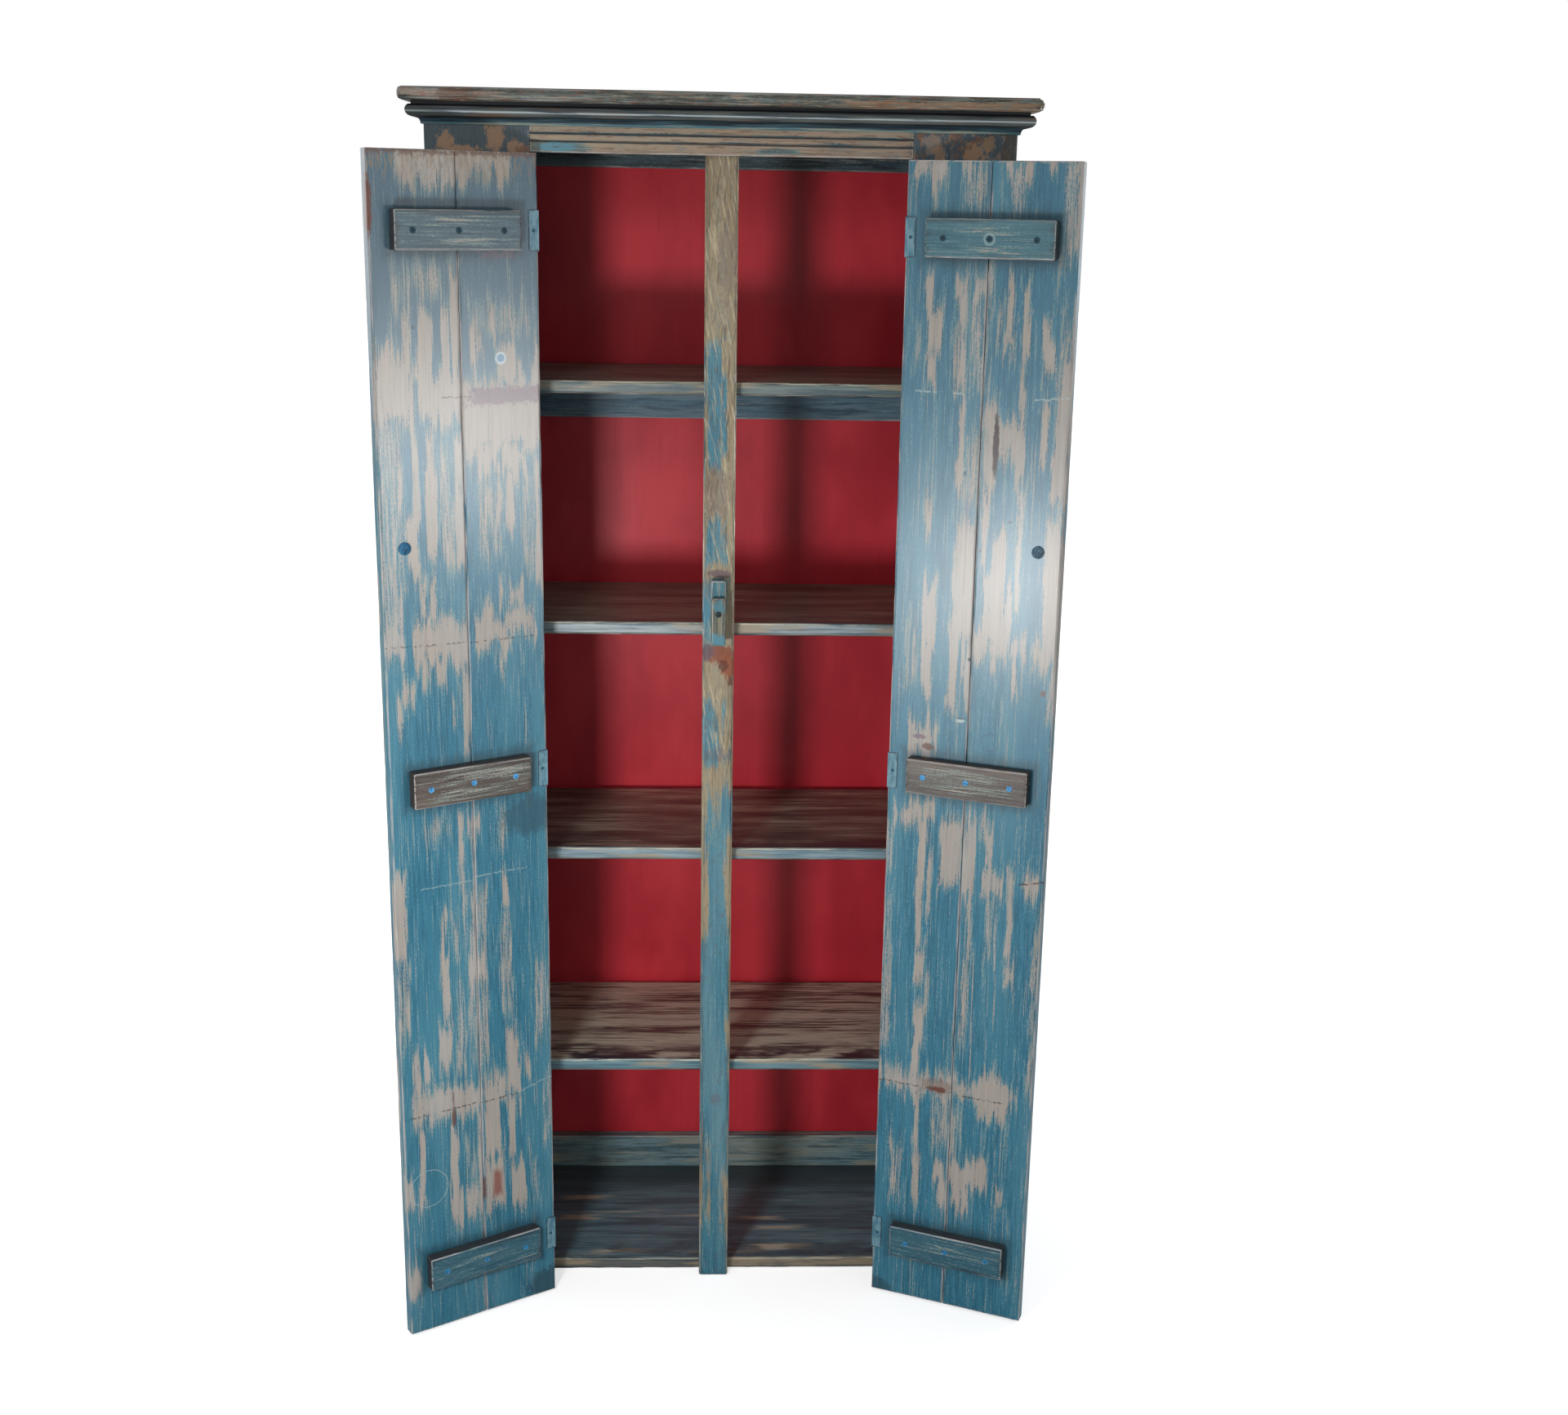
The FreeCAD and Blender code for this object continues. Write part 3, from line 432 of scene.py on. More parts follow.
def ring(across, height, radius, colour=BARE_DARK, width=0.0012, strength=0.8):
    """A thin circle, such as a knot's rim."""
    def draw(finish, under, side, along, fray):
        away = distance(finish, side - across, along - height)
        line = abs(away - radius + (fray - 0.5) * 0.004).rise(width, width * 0.3)
        return finish.blend(under, colour, line * strength)
    return draw


def blot(across, height, half_width, half_height, colour, strength=0.85, ragged=2.6):
    """An oval patch with a ragged rim."""
    def draw(finish, under, side, along, fray):
        wide = (side - across) * (1 / half_width)
        tall = (along - height) * (1 / half_height)
        away = distance(finish, wide, tall)
        rough = finish.noise("Z", 0.007, 0.010, 5, 0.66, shift=across * 90 + height)
        return finish.blend(under, colour, (away + (rough - 0.5) * ragged).rise(1.22, 0.70) * strength)
    return draw


def crack(low, high, height, slope=0.0, colour=GLAZE_AND_SHADE, dots=0.40, strength=0.85):
    """A thin line across the grain from low to high, broken into dashes where dots is larger."""
    def draw(finish, under, side, along, fray):
        off = abs(along - height - (side - low) * slope + (fray - 0.5) * 0.007)
        near = off.rise(0.0018, 0.0005) * (abs(side - (low + high) / 2) - (high - low) / 2).below(0)
        broken = finish.noise("Y", 0.005, 0.005, 2).rise(dots, dots + 0.06)
        return finish.blend(under, colour, near * broken * strength)
    return draw


def mottle(colour, strength, seed, fine=0.004, slow=0.012, grain="Z", start_at=0.52, tilt=0.0, above=None):
    """Small soft patches of another colour, all over or only above a height."""
    def draw(finish, under, side, along, fray):
        patch = finish.noise(grain, fine, slow, 4, 0.65, shift=seed, tilt=tilt)
        patch = patch.rise(start_at, start_at + 0.12) * strength
        if above is not None:
            patch = patch * along.rise(above - 0.02, above + 0.02)
        return finish.blend(under, colour, patch)
    return draw


def smear(low, high, height, half_rise, colour, strength=0.8):
    """A hand's smear across the grain, ragged at its ends."""
    def draw(finish, under, side, along, fray):
        beside = (abs(side - (low + high) / 2) - (high - low) / 2) * 0.3
        away = beside.most(abs(along - height) - half_rise)
        rough = finish.noise("Y", 0.006, 0.006, 4, 0.6, shift=low + height)
        return finish.blend(under, colour, (away + (rough - 0.5) * 0.026).rise(0.004, -0.003) * strength)
    return draw


def stain(across, low, high, half, colour=RED_BROWN, strength=0.8):
    """A narrow run of colour along the grain."""
    def draw(finish, under, side, along, fray):
        away = strokes_field(side, along, [(across, low, high, half)], end=0.4) + (fray - 0.5) * 0.014
        return finish.blend(under, colour, away.rise(0.0030, -0.0025) * strength)
    return draw


# %% [markdown]
# The four door planks are the largest painted surfaces. A box with sharp edges would give the game
# away, because old planks have rounded, slightly nibbled arrises that catch the light. Each plank is
# built from a cube that is cut along its length, bevelled, and worn inwards by noise near its edges.

# %% A worn board in place of a sharp one
# a cut edge counts as running along an axis where it is nearly as long as the board
NEARLY_WHOLE = 0.9
# an arris is an edge whose faces turn by more than this, in radians
ARRIS_TURN = 1
# how far behind the rounding the two loops lie that keep the broad faces flat, in metres
LOOP_STEP = 0.0015
NIBBLES_PER_METRE = 31
WAVES_PER_METRE = 5
SHARP_ANGLE = math.radians(40)


def cut_board(low, high, cell, rounding):
    """A box with rounded arrises, cut into cells along its length."""
    middle = (low + high) / 2
    size = high - low
    shape = bmesh.new()
    bmesh.ops.create_cube(shape, size=1, matrix=Matrix.Translation(middle) @ Matrix.Diagonal((*size, 1)))
    longest = max(range(3), key=lambda axis: size[axis])
    for axis in range(3):
        spacing = cell if axis == longest else max(cell, size[axis] / 4)
        cuts = round(size[axis] / spacing) - 1
        if cuts > 0:
            whole = size[axis] * NEARLY_WHOLE
            run = [e for e in shape.edges if abs((e.verts[0].co - e.verts[1].co)[axis]) > whole]
            bmesh.ops.subdivide_edges(shape, edges=run, cuts=cuts, use_grid_fill=True)
    arrises = [edge for edge in shape.edges if edge.calc_face_angle(0) > ARRIS_TURN]
    bmesh.ops.bevel(shape, geom=arrises, offset=rounding, offset_type="OFFSET", affect="EDGES",
                    segments=2, profile=0.5, material=-1)
    for axis in range(3):
        across_axis = Vector([float(axis == other) for other in range(3)])
        for corner, inward in ((low, 1), (low, 2), (high, -1), (high, -2)):
            place = corner + across_axis * (math.copysign(rounding, inward) + inward * LOOP_STEP)
            everything = shape.verts[:] + shape.edges[:] + shape.faces[:]
            bmesh.ops.bisect_plane(shape, geom=everything, plane_co=place, plane_no=across_axis)
    return shape


def wear_arrises(shape, low, high, rounding, nibble, sway, seed):
    """Moves the points of the arrises inwards: nibble is the small bites, sway the slow waver."""
    middle = (low + high) / 2
    size = high - low
    for vertex in shape.verts:
        inner = [size[axis] / 2 - abs(vertex.co[axis] - middle[axis]) for axis in range(3)]
        near = [inner[axis] < rounding * 1.05 for axis in range(3)]
        if sum(near) < 2:
            continue
        bite = max(0.0, noise.noise(vertex.co * NIBBLES_PER_METRE + Vector((seed, 0, 0)))) * nibble * 2
        swing = (noise.noise(vertex.co * WAVES_PER_METRE + Vector((0, seed, 0))) + 1) / 2 * sway
        for axis in range(3):
            if near[axis]:
                vertex.co[axis] -= math.copysign(bite + swing, vertex.co[axis] - middle[axis])


def worn_board(node, cell=0.022, rounding=0.0010, nibble=0.0008, sway=0.0003, seed=0):
    """The worn board that stands in place of a solid, on the solid's body."""
    body = body_of[node]
    low, high = own_box(node)
    shape = cut_board(low, high, cell, rounding)
    wear_arrises(shape, low, high, rounding, nibble, sway, seed)
    shape.transform(own_axes(body))
    bmesh.ops.recalc_face_normals(shape, faces=shape.faces)
    mesh = bpy.data.meshes.new(node + "_worn")
    shape.to_mesh(mesh)
    shape.free()
    for polygon in mesh.polygons:
        polygon.use_smooth = True
    board = bpy.data.objects.new(node + "_worn", mesh)
    bpy.context.scene.collection.objects.link(board)
    mesh.set_sharp_from_angle(angle=SHARP_ANGLE)
    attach(board, body)
    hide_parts(node)
    return board


worn = {}
door_planks = ["left_hinge_plank", "left_free_plank", "right_hinge_plank", "right_free_plank"]
for seed, node in enumerate(door_planks):
    worn[node] = worn_board(node, rounding=0.0007, nibble=0.0005, seed=seed * 11)
print({name: len(board.data.polygons) for name, board in worn.items()})

# %% [markdown]
# A finish goes on a solid and on the worn board that stands for it. The board alone would do for the
# render, but a solid without a finish would come out grey wherever it is shown by itself.

# %% Putting a finish on
def coat(node, material):
    """Gives a solid, and the worn board that stands for it where there is one, its material."""
    for piece in (nodes[node], worn.get(node)):
        if piece is None:
            continue
        if not piece.material_slots:
            piece.data.materials.append(material)
        for holder in piece.material_slots:
            holder.material = material


# %% [markdown]
# Glaze was brushed on and wiped off, and a rag doesn't reach the corners, so a dark rim stayed round
# each batten; the rim is painted shade too, where the proud batten shades the plank. The battens sit at
# three heights on both doors, and one distance serves them all.

# %% Dark corners round the battens
BATTEN_HEIGHTS = (0.1065, 0.875, 1.6435)
BATTEN_MIDDLE = 0.1256
BATTEN_HALF_RUN = 0.091
BATTEN_HALF_RISE = 0.0265


def near_batten(finish):
    """Metres outside the nearest batten, where glaze and painted shade darken the corner."""
    apart = [abs(finish.z - height) for height in BATTEN_HEIGHTS]
    rise = apart[0].least(apart[1]).least(apart[2]) - BATTEN_HALF_RISE
    return rise.most(abs(finish.x - BATTEN_MIDDLE) - BATTEN_HALF_RUN)


print("battens stand at", BATTEN_HEIGHTS, "m")

# %% [markdown]
# The left door's inner face is greyer and hazier than the right one's, with wide bare bands between
# its battens. Its strokes are in millimetres: place across the door from its hinge, lower end, upper
# end and half of the width. Last come the marks, which are in metres.

# %% Left door's planks
LAVENDER = paint_chip(116, 98, 110)
BROWN_TOP = paint_chip(104, 78, 66)
PALE_LINE = paint_chip(170, 188, 186)
TOP_TAN = paint_chip(140, 124, 102)
PLUG_BLUE = paint_chip(104, 146, 174)
PLUG_RIM = paint_chip(188, 204, 214)
RED_RUN = paint_chip(126, 62, 52)
left_hinge_bare = millimetres([
    (85, 1722, 1800, 36), (60, 1722, 1800, 14), (108, 1708, 1800, 8), (104, 1470, 1520, 3.5),
    (91, 1480, 1520, 3), (73, 1505, 1525, 3), (52, 1440, 1485, 14), (32, 1440, 1480, 5),
    (10, 1400, 1480, 6), (60, 1352, 1440, 64), (85, 1320, 1360, 12), (45, 1315, 1360, 18),
    (68, 1265, 1330, 2.5), (52, 1250, 1320, 5), (8, 1160, 1330, 4), (45, 1125, 1158, 9),
    (88, 1110, 1125, 8), (68, 1120, 1165, 2), (85, 1078, 1103, 24), (40, 1088, 1118, 24),
    (76, 1045, 1065, 3), (60, 1065, 1080, 6), (116, 800, 814, 5), (73, 680, 710, 3.5), (116, 565, 598, 7),
    (66, 380, 462, 9), (102, 270, 390, 12), (100, 362, 392, 19), (42, 395, 410, 3), (101, 187, 260, 14),
    (61, 182, 238, 11), (70, 270, 350, 3.5),
])
left_hinge_film = millimetres([
    (80, 1200, 1300, 18), (20, 1180, 1300, 12), (112, 440, 700, 8), (73, 500, 660, 7), (77, 780, 812, 6),
    (15, 450, 560, 11), (34, 195, 240, 3), (7, 290, 350, 8), (64, 330, 370, 8), (60, 1500, 1535, 45),
])
left_hinge_painted = millimetres([(113, 1457, 1520, 5), (78, 1462, 1490, 3), (25, 1462, 1500, 4)])
left_free_bare = millimetres([
    (178, 1714, 1800, 28), (150, 1722, 1800, 30), (131, 1703, 1800, 9), (128, 1400, 1585, 5),
    (143, 1400, 1535, 5), (172, 1400, 1540, 10), (199, 1400, 1535, 4), (222, 1400, 1482, 20),
    (183, 1397, 1455, 62), (192, 1250, 1380, 2.5), (170, 1310, 1380, 3), (199, 1188, 1252, 7),
    (169, 1208, 1310, 7), (128, 1192, 1360, 5), (187, 1125, 1155, 2), (172, 1125, 1165, 3),
    (165, 1062, 1102, 40), (185, 1038, 1060, 4), (165, 1032, 1060, 6), (135, 1052, 1100, 12),
    (229, 1068, 1098, 14), (212, 1008, 1022, 5), (226, 978, 998, 3), (144, 960, 995, 2),
    (124.5, 940, 1040, 3.5), (140, 770, 812, 3), (124, 800, 814, 5), (239, 630, 730, 8), (173, 610, 670, 2),
    (171, 500, 600, 3.5), (174, 440, 490, 9), (128, 565, 598, 6), (205, 430, 460, 3), (222, 400, 470, 4),
    (185, 357, 393, 44), (135, 357, 388, 15), (165, 180, 330, 5), (165, 178, 213, 8), (217, 230, 330, 3.5),
    (217, 223, 238, 6), (240, 232, 258, 4), (137, 187, 223, 9), (123, 182, 340, 3), (237, 75, 105, 11),
])
left_free_film = millimetres([
    (226, 1080, 1400, 17), (145, 1200, 1340, 12), (178, 800, 813, 22), (139, 620, 760, 4),
    (126, 420, 700, 8), (237, 500, 630, 7), (153, 600, 660, 4), (150, 420, 570, 7), (140, 240, 300, 6),
    (180, 1545, 1590, 35),
])
left_free_painted = millimetres([
    (154, 1478, 1550, 4), (185, 1500, 1560, 4), (187, 1385, 1440, 1.5), (209, 1050, 1140, 4),
])
coat("left_hinge_plank", worn_paint(
    "left_hinge_plank", "Z", left_hinge_bare, left_hinge_film, left_hinge_painted, seed=1,
    near=near_batten, outer_shift=0.31, grey=0.85, edge_glaze=0.2,
    marks=[mottle(TOP_TAN, 0.6, 5.1, 0.004, 0.020, start_at=0.47, above=1.712),
           blot(0.061, 1.473, 0.006, 0.006, PLUG_BLUE, 0.9, 0.8),
           ring(0.061, 1.473, 0.0068, PLUG_RIM, 0.0022),
           crack(0.0, 0.120, 1.077, dots=0.48, strength=0.6),
           crack(0.035, 0.120, 0.7255, colour=PALE_LINE, strength=0.4),
           crack(0.0, 0.060, 0.378, -0.25, PALE_LINE, strength=0.4),
           crack(0.060, 0.120, 0.362, dots=0.46, strength=0.7),
           crack(0.106, 0.120, 1.423, strength=0.6),
           smear(0.002, 0.106, 1.422, 0.011, LAVENDER),
           smear(0.040, 0.082, 1.612, 0.004, LAVENDER, 0.6),
           blot(0.030, 0.806, 0.045, 0.030, TEAL_DARK, 0.55, 1.4),
           blot(0.006, 0.022, 0.045, 0.026, TEAL_DARK, 0.7, 1.2),
           smear(0.0, 0.130, 1.743, 0.003, BROWN_TOP, 0.75),
           stain(0.096, 0.200, 0.242, 0.007, RED_RUN),
           stain(0.1185, 0.204, 0.232, 0.002)]))
coat("left_free_plank", worn_paint(
    "left_free_plank", "Z", left_free_bare, left_free_film, left_free_painted, seed=9,
    near=near_batten, outer_shift=0.27, grey=0.85, edge_glaze=0.2,
    marks=[mottle(TOP_TAN, 0.6, 6.3, 0.004, 0.020, start_at=0.47, above=1.712),
           crack(0.121, 0.245, 1.078, 0.04, dots=0.48, strength=0.6),
           crack(0.121, 0.205, 0.7205, colour=PALE_LINE, strength=0.4),
           crack(0.121, 0.245, 0.364, dots=0.46, strength=0.7),
           crack(0.121, 0.150, 1.4225, strength=0.6),
           smear(0.110, 0.245, 1.743, 0.003, BROWN_TOP, 0.75),
           blot(0.165, 0.350, 0.0035, 0.018, RED_BROWN, 0.8, 1.0),
           blot(0.165, 0.380, 0.002, 0.012, RED_BROWN, 0.6, 1.0),
           blot(0.244, 1.675, 0.005, 0.038, RED_BROWN, 0.9, 1.2),
           blot(0.188, 1.517, 0.003, 0.003, TEAL_DARK),
           ring(0.208, 0.243, 0.030, PALE_LINE, 0.001, 0.5)]))
print(len(left_hinge_bare) + len(left_free_bare), "bare strokes on the left door")

# %% [markdown]
# The right door kept more of its blue. Its bare patches are shorter and narrower, and a long dark mark
# stands beside the seam. It is written down like the left one, so the two differ only in their lists.

# %% Right door's planks
BURNT = paint_chip(48, 28, 32)
SCRATCH_BROWN = paint_chip(60, 36, 34)
right_hinge_bare = millimetres([
    (48, 1728, 1800, 9), (40, 1710, 1750, 2), (85, 1732, 1800, 5), (24, 1738, 1800, 8),
    (40, 1450, 1580, 2.5), (48, 1490, 1528, 9), (45, 1455, 1490, 5), (85, 1573, 1584, 6),
    (88, 1450, 1570, 3), (112, 1573, 1588, 7), (93, 1300, 1400, 2), (105, 1090, 1252, 15),
    (94, 995, 1080, 5), (108, 1030, 1080, 3), (117.5, 985, 1080, 2.5), (49, 1230, 1268, 3.5),
    (55, 1072, 1158, 9), (52, 1010, 1070, 8), (58, 809, 819, 17), (30, 804, 809, 14), (58, 710, 800, 4.5),
    (71, 670, 755, 3.5), (58, 600, 700, 3), (61, 560, 590, 6), (62, 440, 492, 6), (60, 390, 450, 4),
    (101, 722, 808, 11), (114, 722, 800, 4), (60, 370, 384, 58), (64, 280, 350, 2.5), (67, 182, 243, 6),
    (108, 226, 243, 11), (112, 190, 220, 5), (54, 915, 946, 20),
])
right_hinge_film = millimetres([
    (110, 1450, 1560, 7), (86, 1460, 1570, 8), (25, 1480, 1530, 4), (110, 1280, 1380, 9),
    (30, 1020, 1120, 8), (72, 500, 570, 3), (5, 730, 800, 5), (104, 270, 350, 12), (8, 450, 680, 7),
    (36, 180, 260, 8), (100, 1700, 1735, 16),
])
right_hinge_painted = millimetres([(81, 1020, 1060, 5)])
right_free_bare = millimetres([
    (171, 1730, 1800, 3), (203, 1735, 1800, 4), (143, 1740, 1800, 4), (155, 1510, 1578, 3.5),
    (159, 1480, 1520, 3.5), (175, 1410, 1580, 3), (178, 1507, 1524, 5), (179, 1330, 1440, 2.5),
    (207, 1507, 1528, 3.5), (215, 1487, 1503, 5), (152, 1357, 1397, 22), (173, 1357, 1388, 9),
    (135, 1327, 1412, 7), (211, 1350, 1408, 5), (231, 1300, 1400, 5), (150, 1080, 1235, 14),
    (170, 1070, 1158, 6), (183, 1130, 1290, 3), (133, 1200, 1280, 3), (234, 1062, 1255, 11),
    (162, 1066, 1092, 38), (228, 1057, 1088, 16), (153, 1045, 1060, 3), (185, 1032, 1060, 3),
    (241, 1000, 1050, 3), (131, 712, 812, 9), (160, 750, 790, 3), (168, 711, 728, 15), (195, 612, 742, 4),
    (200, 566, 583, 6), (240.5, 1300, 1470, 4.5), (241.5, 1630, 1745, 3), (239, 1350, 1420, 7),
    (225, 722, 725, 13), (150, 370, 384, 30), (185, 357, 393, 18), (212, 379, 388, 9), (140, 221, 243, 18),
    (134, 182, 220, 7), (149, 172, 220, 4), (170, 231, 253, 10), (203, 206, 219, 4),
])
right_free_film = millimetres([
    (234, 1620, 1750, 11), (236, 1280, 1550, 10), (143, 1520, 1560, 3), (128, 1280, 1380, 5),
    (132, 460, 700, 6), (150, 770, 815, 10), (170, 610, 700, 8), (241, 400, 700, 4), (130, 270, 350, 8),
    (160, 1690, 1725, 6), (126, 1440, 1600, 3),
])
right_free_painted = millimetres([(200, 1130, 1240, 10), (208, 1100, 1140, 4), (142, 1200, 1260, 2)])
coat("right_hinge_plank", worn_paint(
    "right_hinge_plank", "Z", right_hinge_bare, right_hinge_film, right_hinge_painted, seed=17,
    near=near_batten, outer_shift=0.29, grey=0.3, edge_glaze=0.2,
    marks=[crack(0.022, 0.062, 1.434, colour=PALE_LINE, strength=0.6),
           crack(0.075, 0.095, 1.434, colour=PALE_LINE, strength=0.6),
           crack(0.0, 0.120, 0.372, dots=0.46, strength=0.6),
           blot(0.096, 0.378, 0.026, 0.013, RED_BROWN, 0.4, 1.8),
           blot(0.100, 0.372, 0.015, 0.005, RED_BROWN, 0.9, 1.8),
           blot(0.004, 0.010, 0.030, 0.016, TEAL_DARK, 0.6, 1.2),
           blot(0.048, 0.932, 0.009, 0.003, LAVENDER),
           blot(0.060, 0.918, 0.009, 0.005, RED_BROWN, 0.8, 1.6),
           blot(0.108, 0.963, 0.008, 0.003, PALE_LINE, 0.9, 1.0),
           blot(0.108, 0.966, 0.006, 0.0015, TEAL_DARK, 0.8, 1.0),
           stain(0.106, 1.150, 1.290, 0.001, LAVENDER, 0.45),
           blot(0.100, 1.323, 0.002, 0.003, TEAL_DARK),
           blot(0.118, 1.055, 0.002, 0.003, TEAL_DARK)]))
coat("right_free_plank", worn_paint(
    "right_free_plank", "Z", right_free_bare, right_free_film, right_free_painted, seed=25,
    near=near_batten, outer_shift=0.33, grey=0.2, edge_glaze=0.2,
    marks=[ring(0.154, 0.935, 0.013, TEAL_DARK, 0.0009, 0.5),
           blot(0.143, 1.362, 0.0048, 0.046, BURNT, 0.95, 1.2),
           crack(0.195, 0.245, 1.430, 0.10, PALE_LINE, strength=0.6),
           crack(0.208, 0.245, 0.724, 0.25, SCRATCH_BROWN),
           crack(0.121, 0.200, 0.369, dots=0.5),
           blot(0.168, 1.259, 0.003, 0.002, TEAL_DARK),
           blot(0.229, 1.017, 0.004, 0.005, RED_BROWN, 0.8, 1.0),
           blot(0.127, 1.215, 0.002, 0.003, TEAL_DARK)]))
print(len(right_hinge_bare) + len(right_free_bare), "bare strokes on the right door")

# %% [markdown]
# Battens hold the planks together. They were glazed and rubbed back, so their front arris is a pale
# line of wear with a painted highlight on it, and their sides are painted dark as shade. The top pair
# is blue-grey, bluer on the right door, the middle pair is the most worn, and the bottom pair is still
# mostly blue. They keep the solid model's shape, because it has their screw holes, and only the paint
# changes.

# %% Battens
BATTEN_GREY = (paint_chip(70, 96, 106), paint_chip(48, 72, 84), paint_chip(98, 114, 118))
BATTEN_BLUE = (paint_chip(62, 110, 124), paint_chip(46, 86, 100), paint_chip(98, 130, 134))
BATTEN_BROWN = (paint_chip(86, 80, 76), paint_chip(58, 48, 44), paint_chip(120, 104, 90))
BATTEN_TEAL = (paint_chip(44, 94, 112), paint_chip(30, 68, 84), paint_chip(78, 114, 124))
BATTENS = (
    ("top", BATTEN_GREY, [(1656, 112, 142, 2), (1629, 110, 140, 2)]),
    ("middle", BATTEN_BROWN, [(885, 80, 150, 4), (864, 100, 160, 3)]),
    ("bottom", BATTEN_TEAL, [(113, 110, 150, 2)]),
)
for side, seed in (("left", 31), ("right", 41)):
    for level, tones, strokes in BATTENS:
        node = f"{side}_{level}_batten"
        rings = []
        if node == "right_top_batten":
            tones = BATTEN_BLUE
            rings = [ring(1.6435, BATTEN_MIDDLE, 0.0070, PALE_LINE, 0.0024, 0.4)]
        coat(node, worn_paint(
            node, "X", film_strokes=millimetres(strokes), film=0.12, seed=seed, tones=tones, across="z",
            wear=0.0024, glaze_and_shade=0.9, shaded_sides=True, fray_wide=0.006, marks=rings))
        seed += 3
print("battens painted")

# %% [markdown]
# The centre post, the shelves and the cornice's cap have soft edges that wander by a millimetre or two.
# They are rebuilt as worn boards too. The cap is rounded more than the rest, and the post wavers most.

# %% Post, shelves and cap as worn boards
WORN_BOARDS = (
    # node, length of a cell, rounding, nibble, sway and seed
    ("center_post", 0.014, 0.0016, 0.0014, 0.0018, 5),
    ("shelf_1", 0.022, 0.0016, 0.0012, 0.0012, 3),
    ("shelf_2", 0.022, 0.0016, 0.0012, 0.0012, 6),
    ("shelf_3", 0.022, 0.0016, 0.0012, 0.0012, 9),
    ("shelf_4", 0.022, 0.0016, 0.0012, 0.0012, 12),
    ("bottom_board", 0.022, 0.0016, 0.0012, 0.0010, 21),
    ("cornice_cap", 0.022, 0.0050, 0.0016, 0.0010, 33),
)
for node, cell, rounding, nibble, sway, seed in WORN_BOARDS:
    worn[node] = worn_board(node, cell, rounding, nibble, sway, seed)
print({name: len(board.data.polygons) for name, board in worn.items()})

# %% [markdown]
# The post is rubbed almost to the wood in its upper half, an olive tan with a rusty patch at the turn
# button, and its lower half is turquoise, bare only along its edges. Two materials would meet in a
# line, so one carries both, and its strokes and patches thin out down the post.

# %% Centre post's paint
OLIVE = paint_chip(150, 130, 98)
OLIVE_DARK = paint_chip(92, 74, 54)
OLIVE_PALE = paint_chip(172, 156, 126)
TURQUOISE = paint_chip(62, 120, 138)
POST_TONES = (TURQUOISE, paint_chip(46, 98, 118), paint_chip(104, 140, 150))
RUST = paint_chip(136, 72, 46)
RUST_DARK = paint_chip(92, 48, 36)
BRUISE = paint_chip(100, 82, 90)
TURQUOISE_BRIGHT = paint_chip(76, 132, 150)
CREAM = paint_chip(192, 178, 148)
post_bare = millimetres([
    (0, 1500, 1800, 30), (12, 1300, 1500, 12), (-19, 1260, 1400, 4), (0, 1240, 1310, 26),
    (18, 1170, 1250, 6), (-19, 1170, 1240, 3), (2, 1150, 1176, 24), (19, 1050, 1150, 7), (2, 965, 1035, 24),
    (16, 890, 1000, 6), (2, 905, 960, 4), (0, 836, 872, 24), (-21.5, 590, 860, 3.5), (-18, 640, 720, 4),
    (21, 600, 740, 3), (18, 660, 700, 3), (-17, 600, 625, 3), (-19, 780, 830, 4), (22.5, 370, 600, 1.5),
    (20, 80, 170, 3), (-21.5, 100, 260, 2),
])
post_film = millimetres([
    (-12, 1300, 1480, 8), (0, 1180, 1240, 20), (4, 880, 945, 12), (-12, 110, 240, 6), (14, 90, 180, 5),
    (0, 780, 836, 4),
])
post_painted = millimetres([
    (-13, 1400, 1480, 3), (-3, 1330, 1480, 3.5), (7, 1340, 1440, 2.5), (-12, 1325, 1375, 3.5),
    (-13, 1185, 1222, 3.5), (-2, 1190, 1232, 3), (7, 1185, 1205, 2.5), (-15, 890, 960, 5),
    (-3, 905, 935, 3), (-10, 876, 900, 10),
])
coat("center_post", worn_paint(
    "center_post", "Z", post_bare, post_film, post_painted, seed=51, tones=POST_TONES, bare=OLIVE,
    bare_dark=OLIVE_DARK, bare_pale=OLIVE_PALE, arris=CREAM, film=0.12, rained=0.12, fray_wide=0.012,
    marks=[mottle(CREAM, 0.75, 9.1, 0.0035, 0.060, start_at=0.53, tilt=0.20, above=0.85),
           mottle(OLIVE_DARK, 0.60, 3.1, 0.0035, 0.040, start_at=0.54, tilt=-0.10, above=0.85),
           mottle(BRUISE, 0.40, 7.7, 0.005, 0.014, start_at=0.55),
           mottle(TURQUOISE, 0.45, 5.3, 0.003, 0.050, start_at=0.57, tilt=0.20, above=0.85),
           blot(0.008, 1.600, 0.012, 0.060, BRUISE, 0.30, 3.4),
           blot(-0.004, 1.280, 0.018, 0.036, BRUISE, 0.30, 3.4),
           blot(0.003, 1.040, 0.022, 0.015, RUST, 0.9, 1.6),
           blot(0.015, 1.020, 0.010, 0.020, RUST, 0.9, 1.8),
           blot(0.008, 1.022, 0.007, 0.010, RUST_DARK, 0.8, 2.0),
           blot(0.018, 1.000, 0.004, 0.008, RUST_DARK, 0.8, 2.0),
           blot(-0.016, 1.042, 0.009, 0.014, BRUISE, 0.85, 1.8),
           blot(0.002, 1.160, 0.018, 0.006, BRUISE, 0.8, 1.8),
           blot(-0.018, 1.104, 0.006, 0.020, TURQUOISE_BRIGHT, 0.9, 1.2),
           blot(0.000, 0.884, 0.018, 0.010, BRUISE, 0.35, 2.6),
           blot(0.002, 0.315, 0.008, 0.010, BRUISE, 0.4, 2.6)]))
print("post painted with", len(post_bare), "bare strokes")

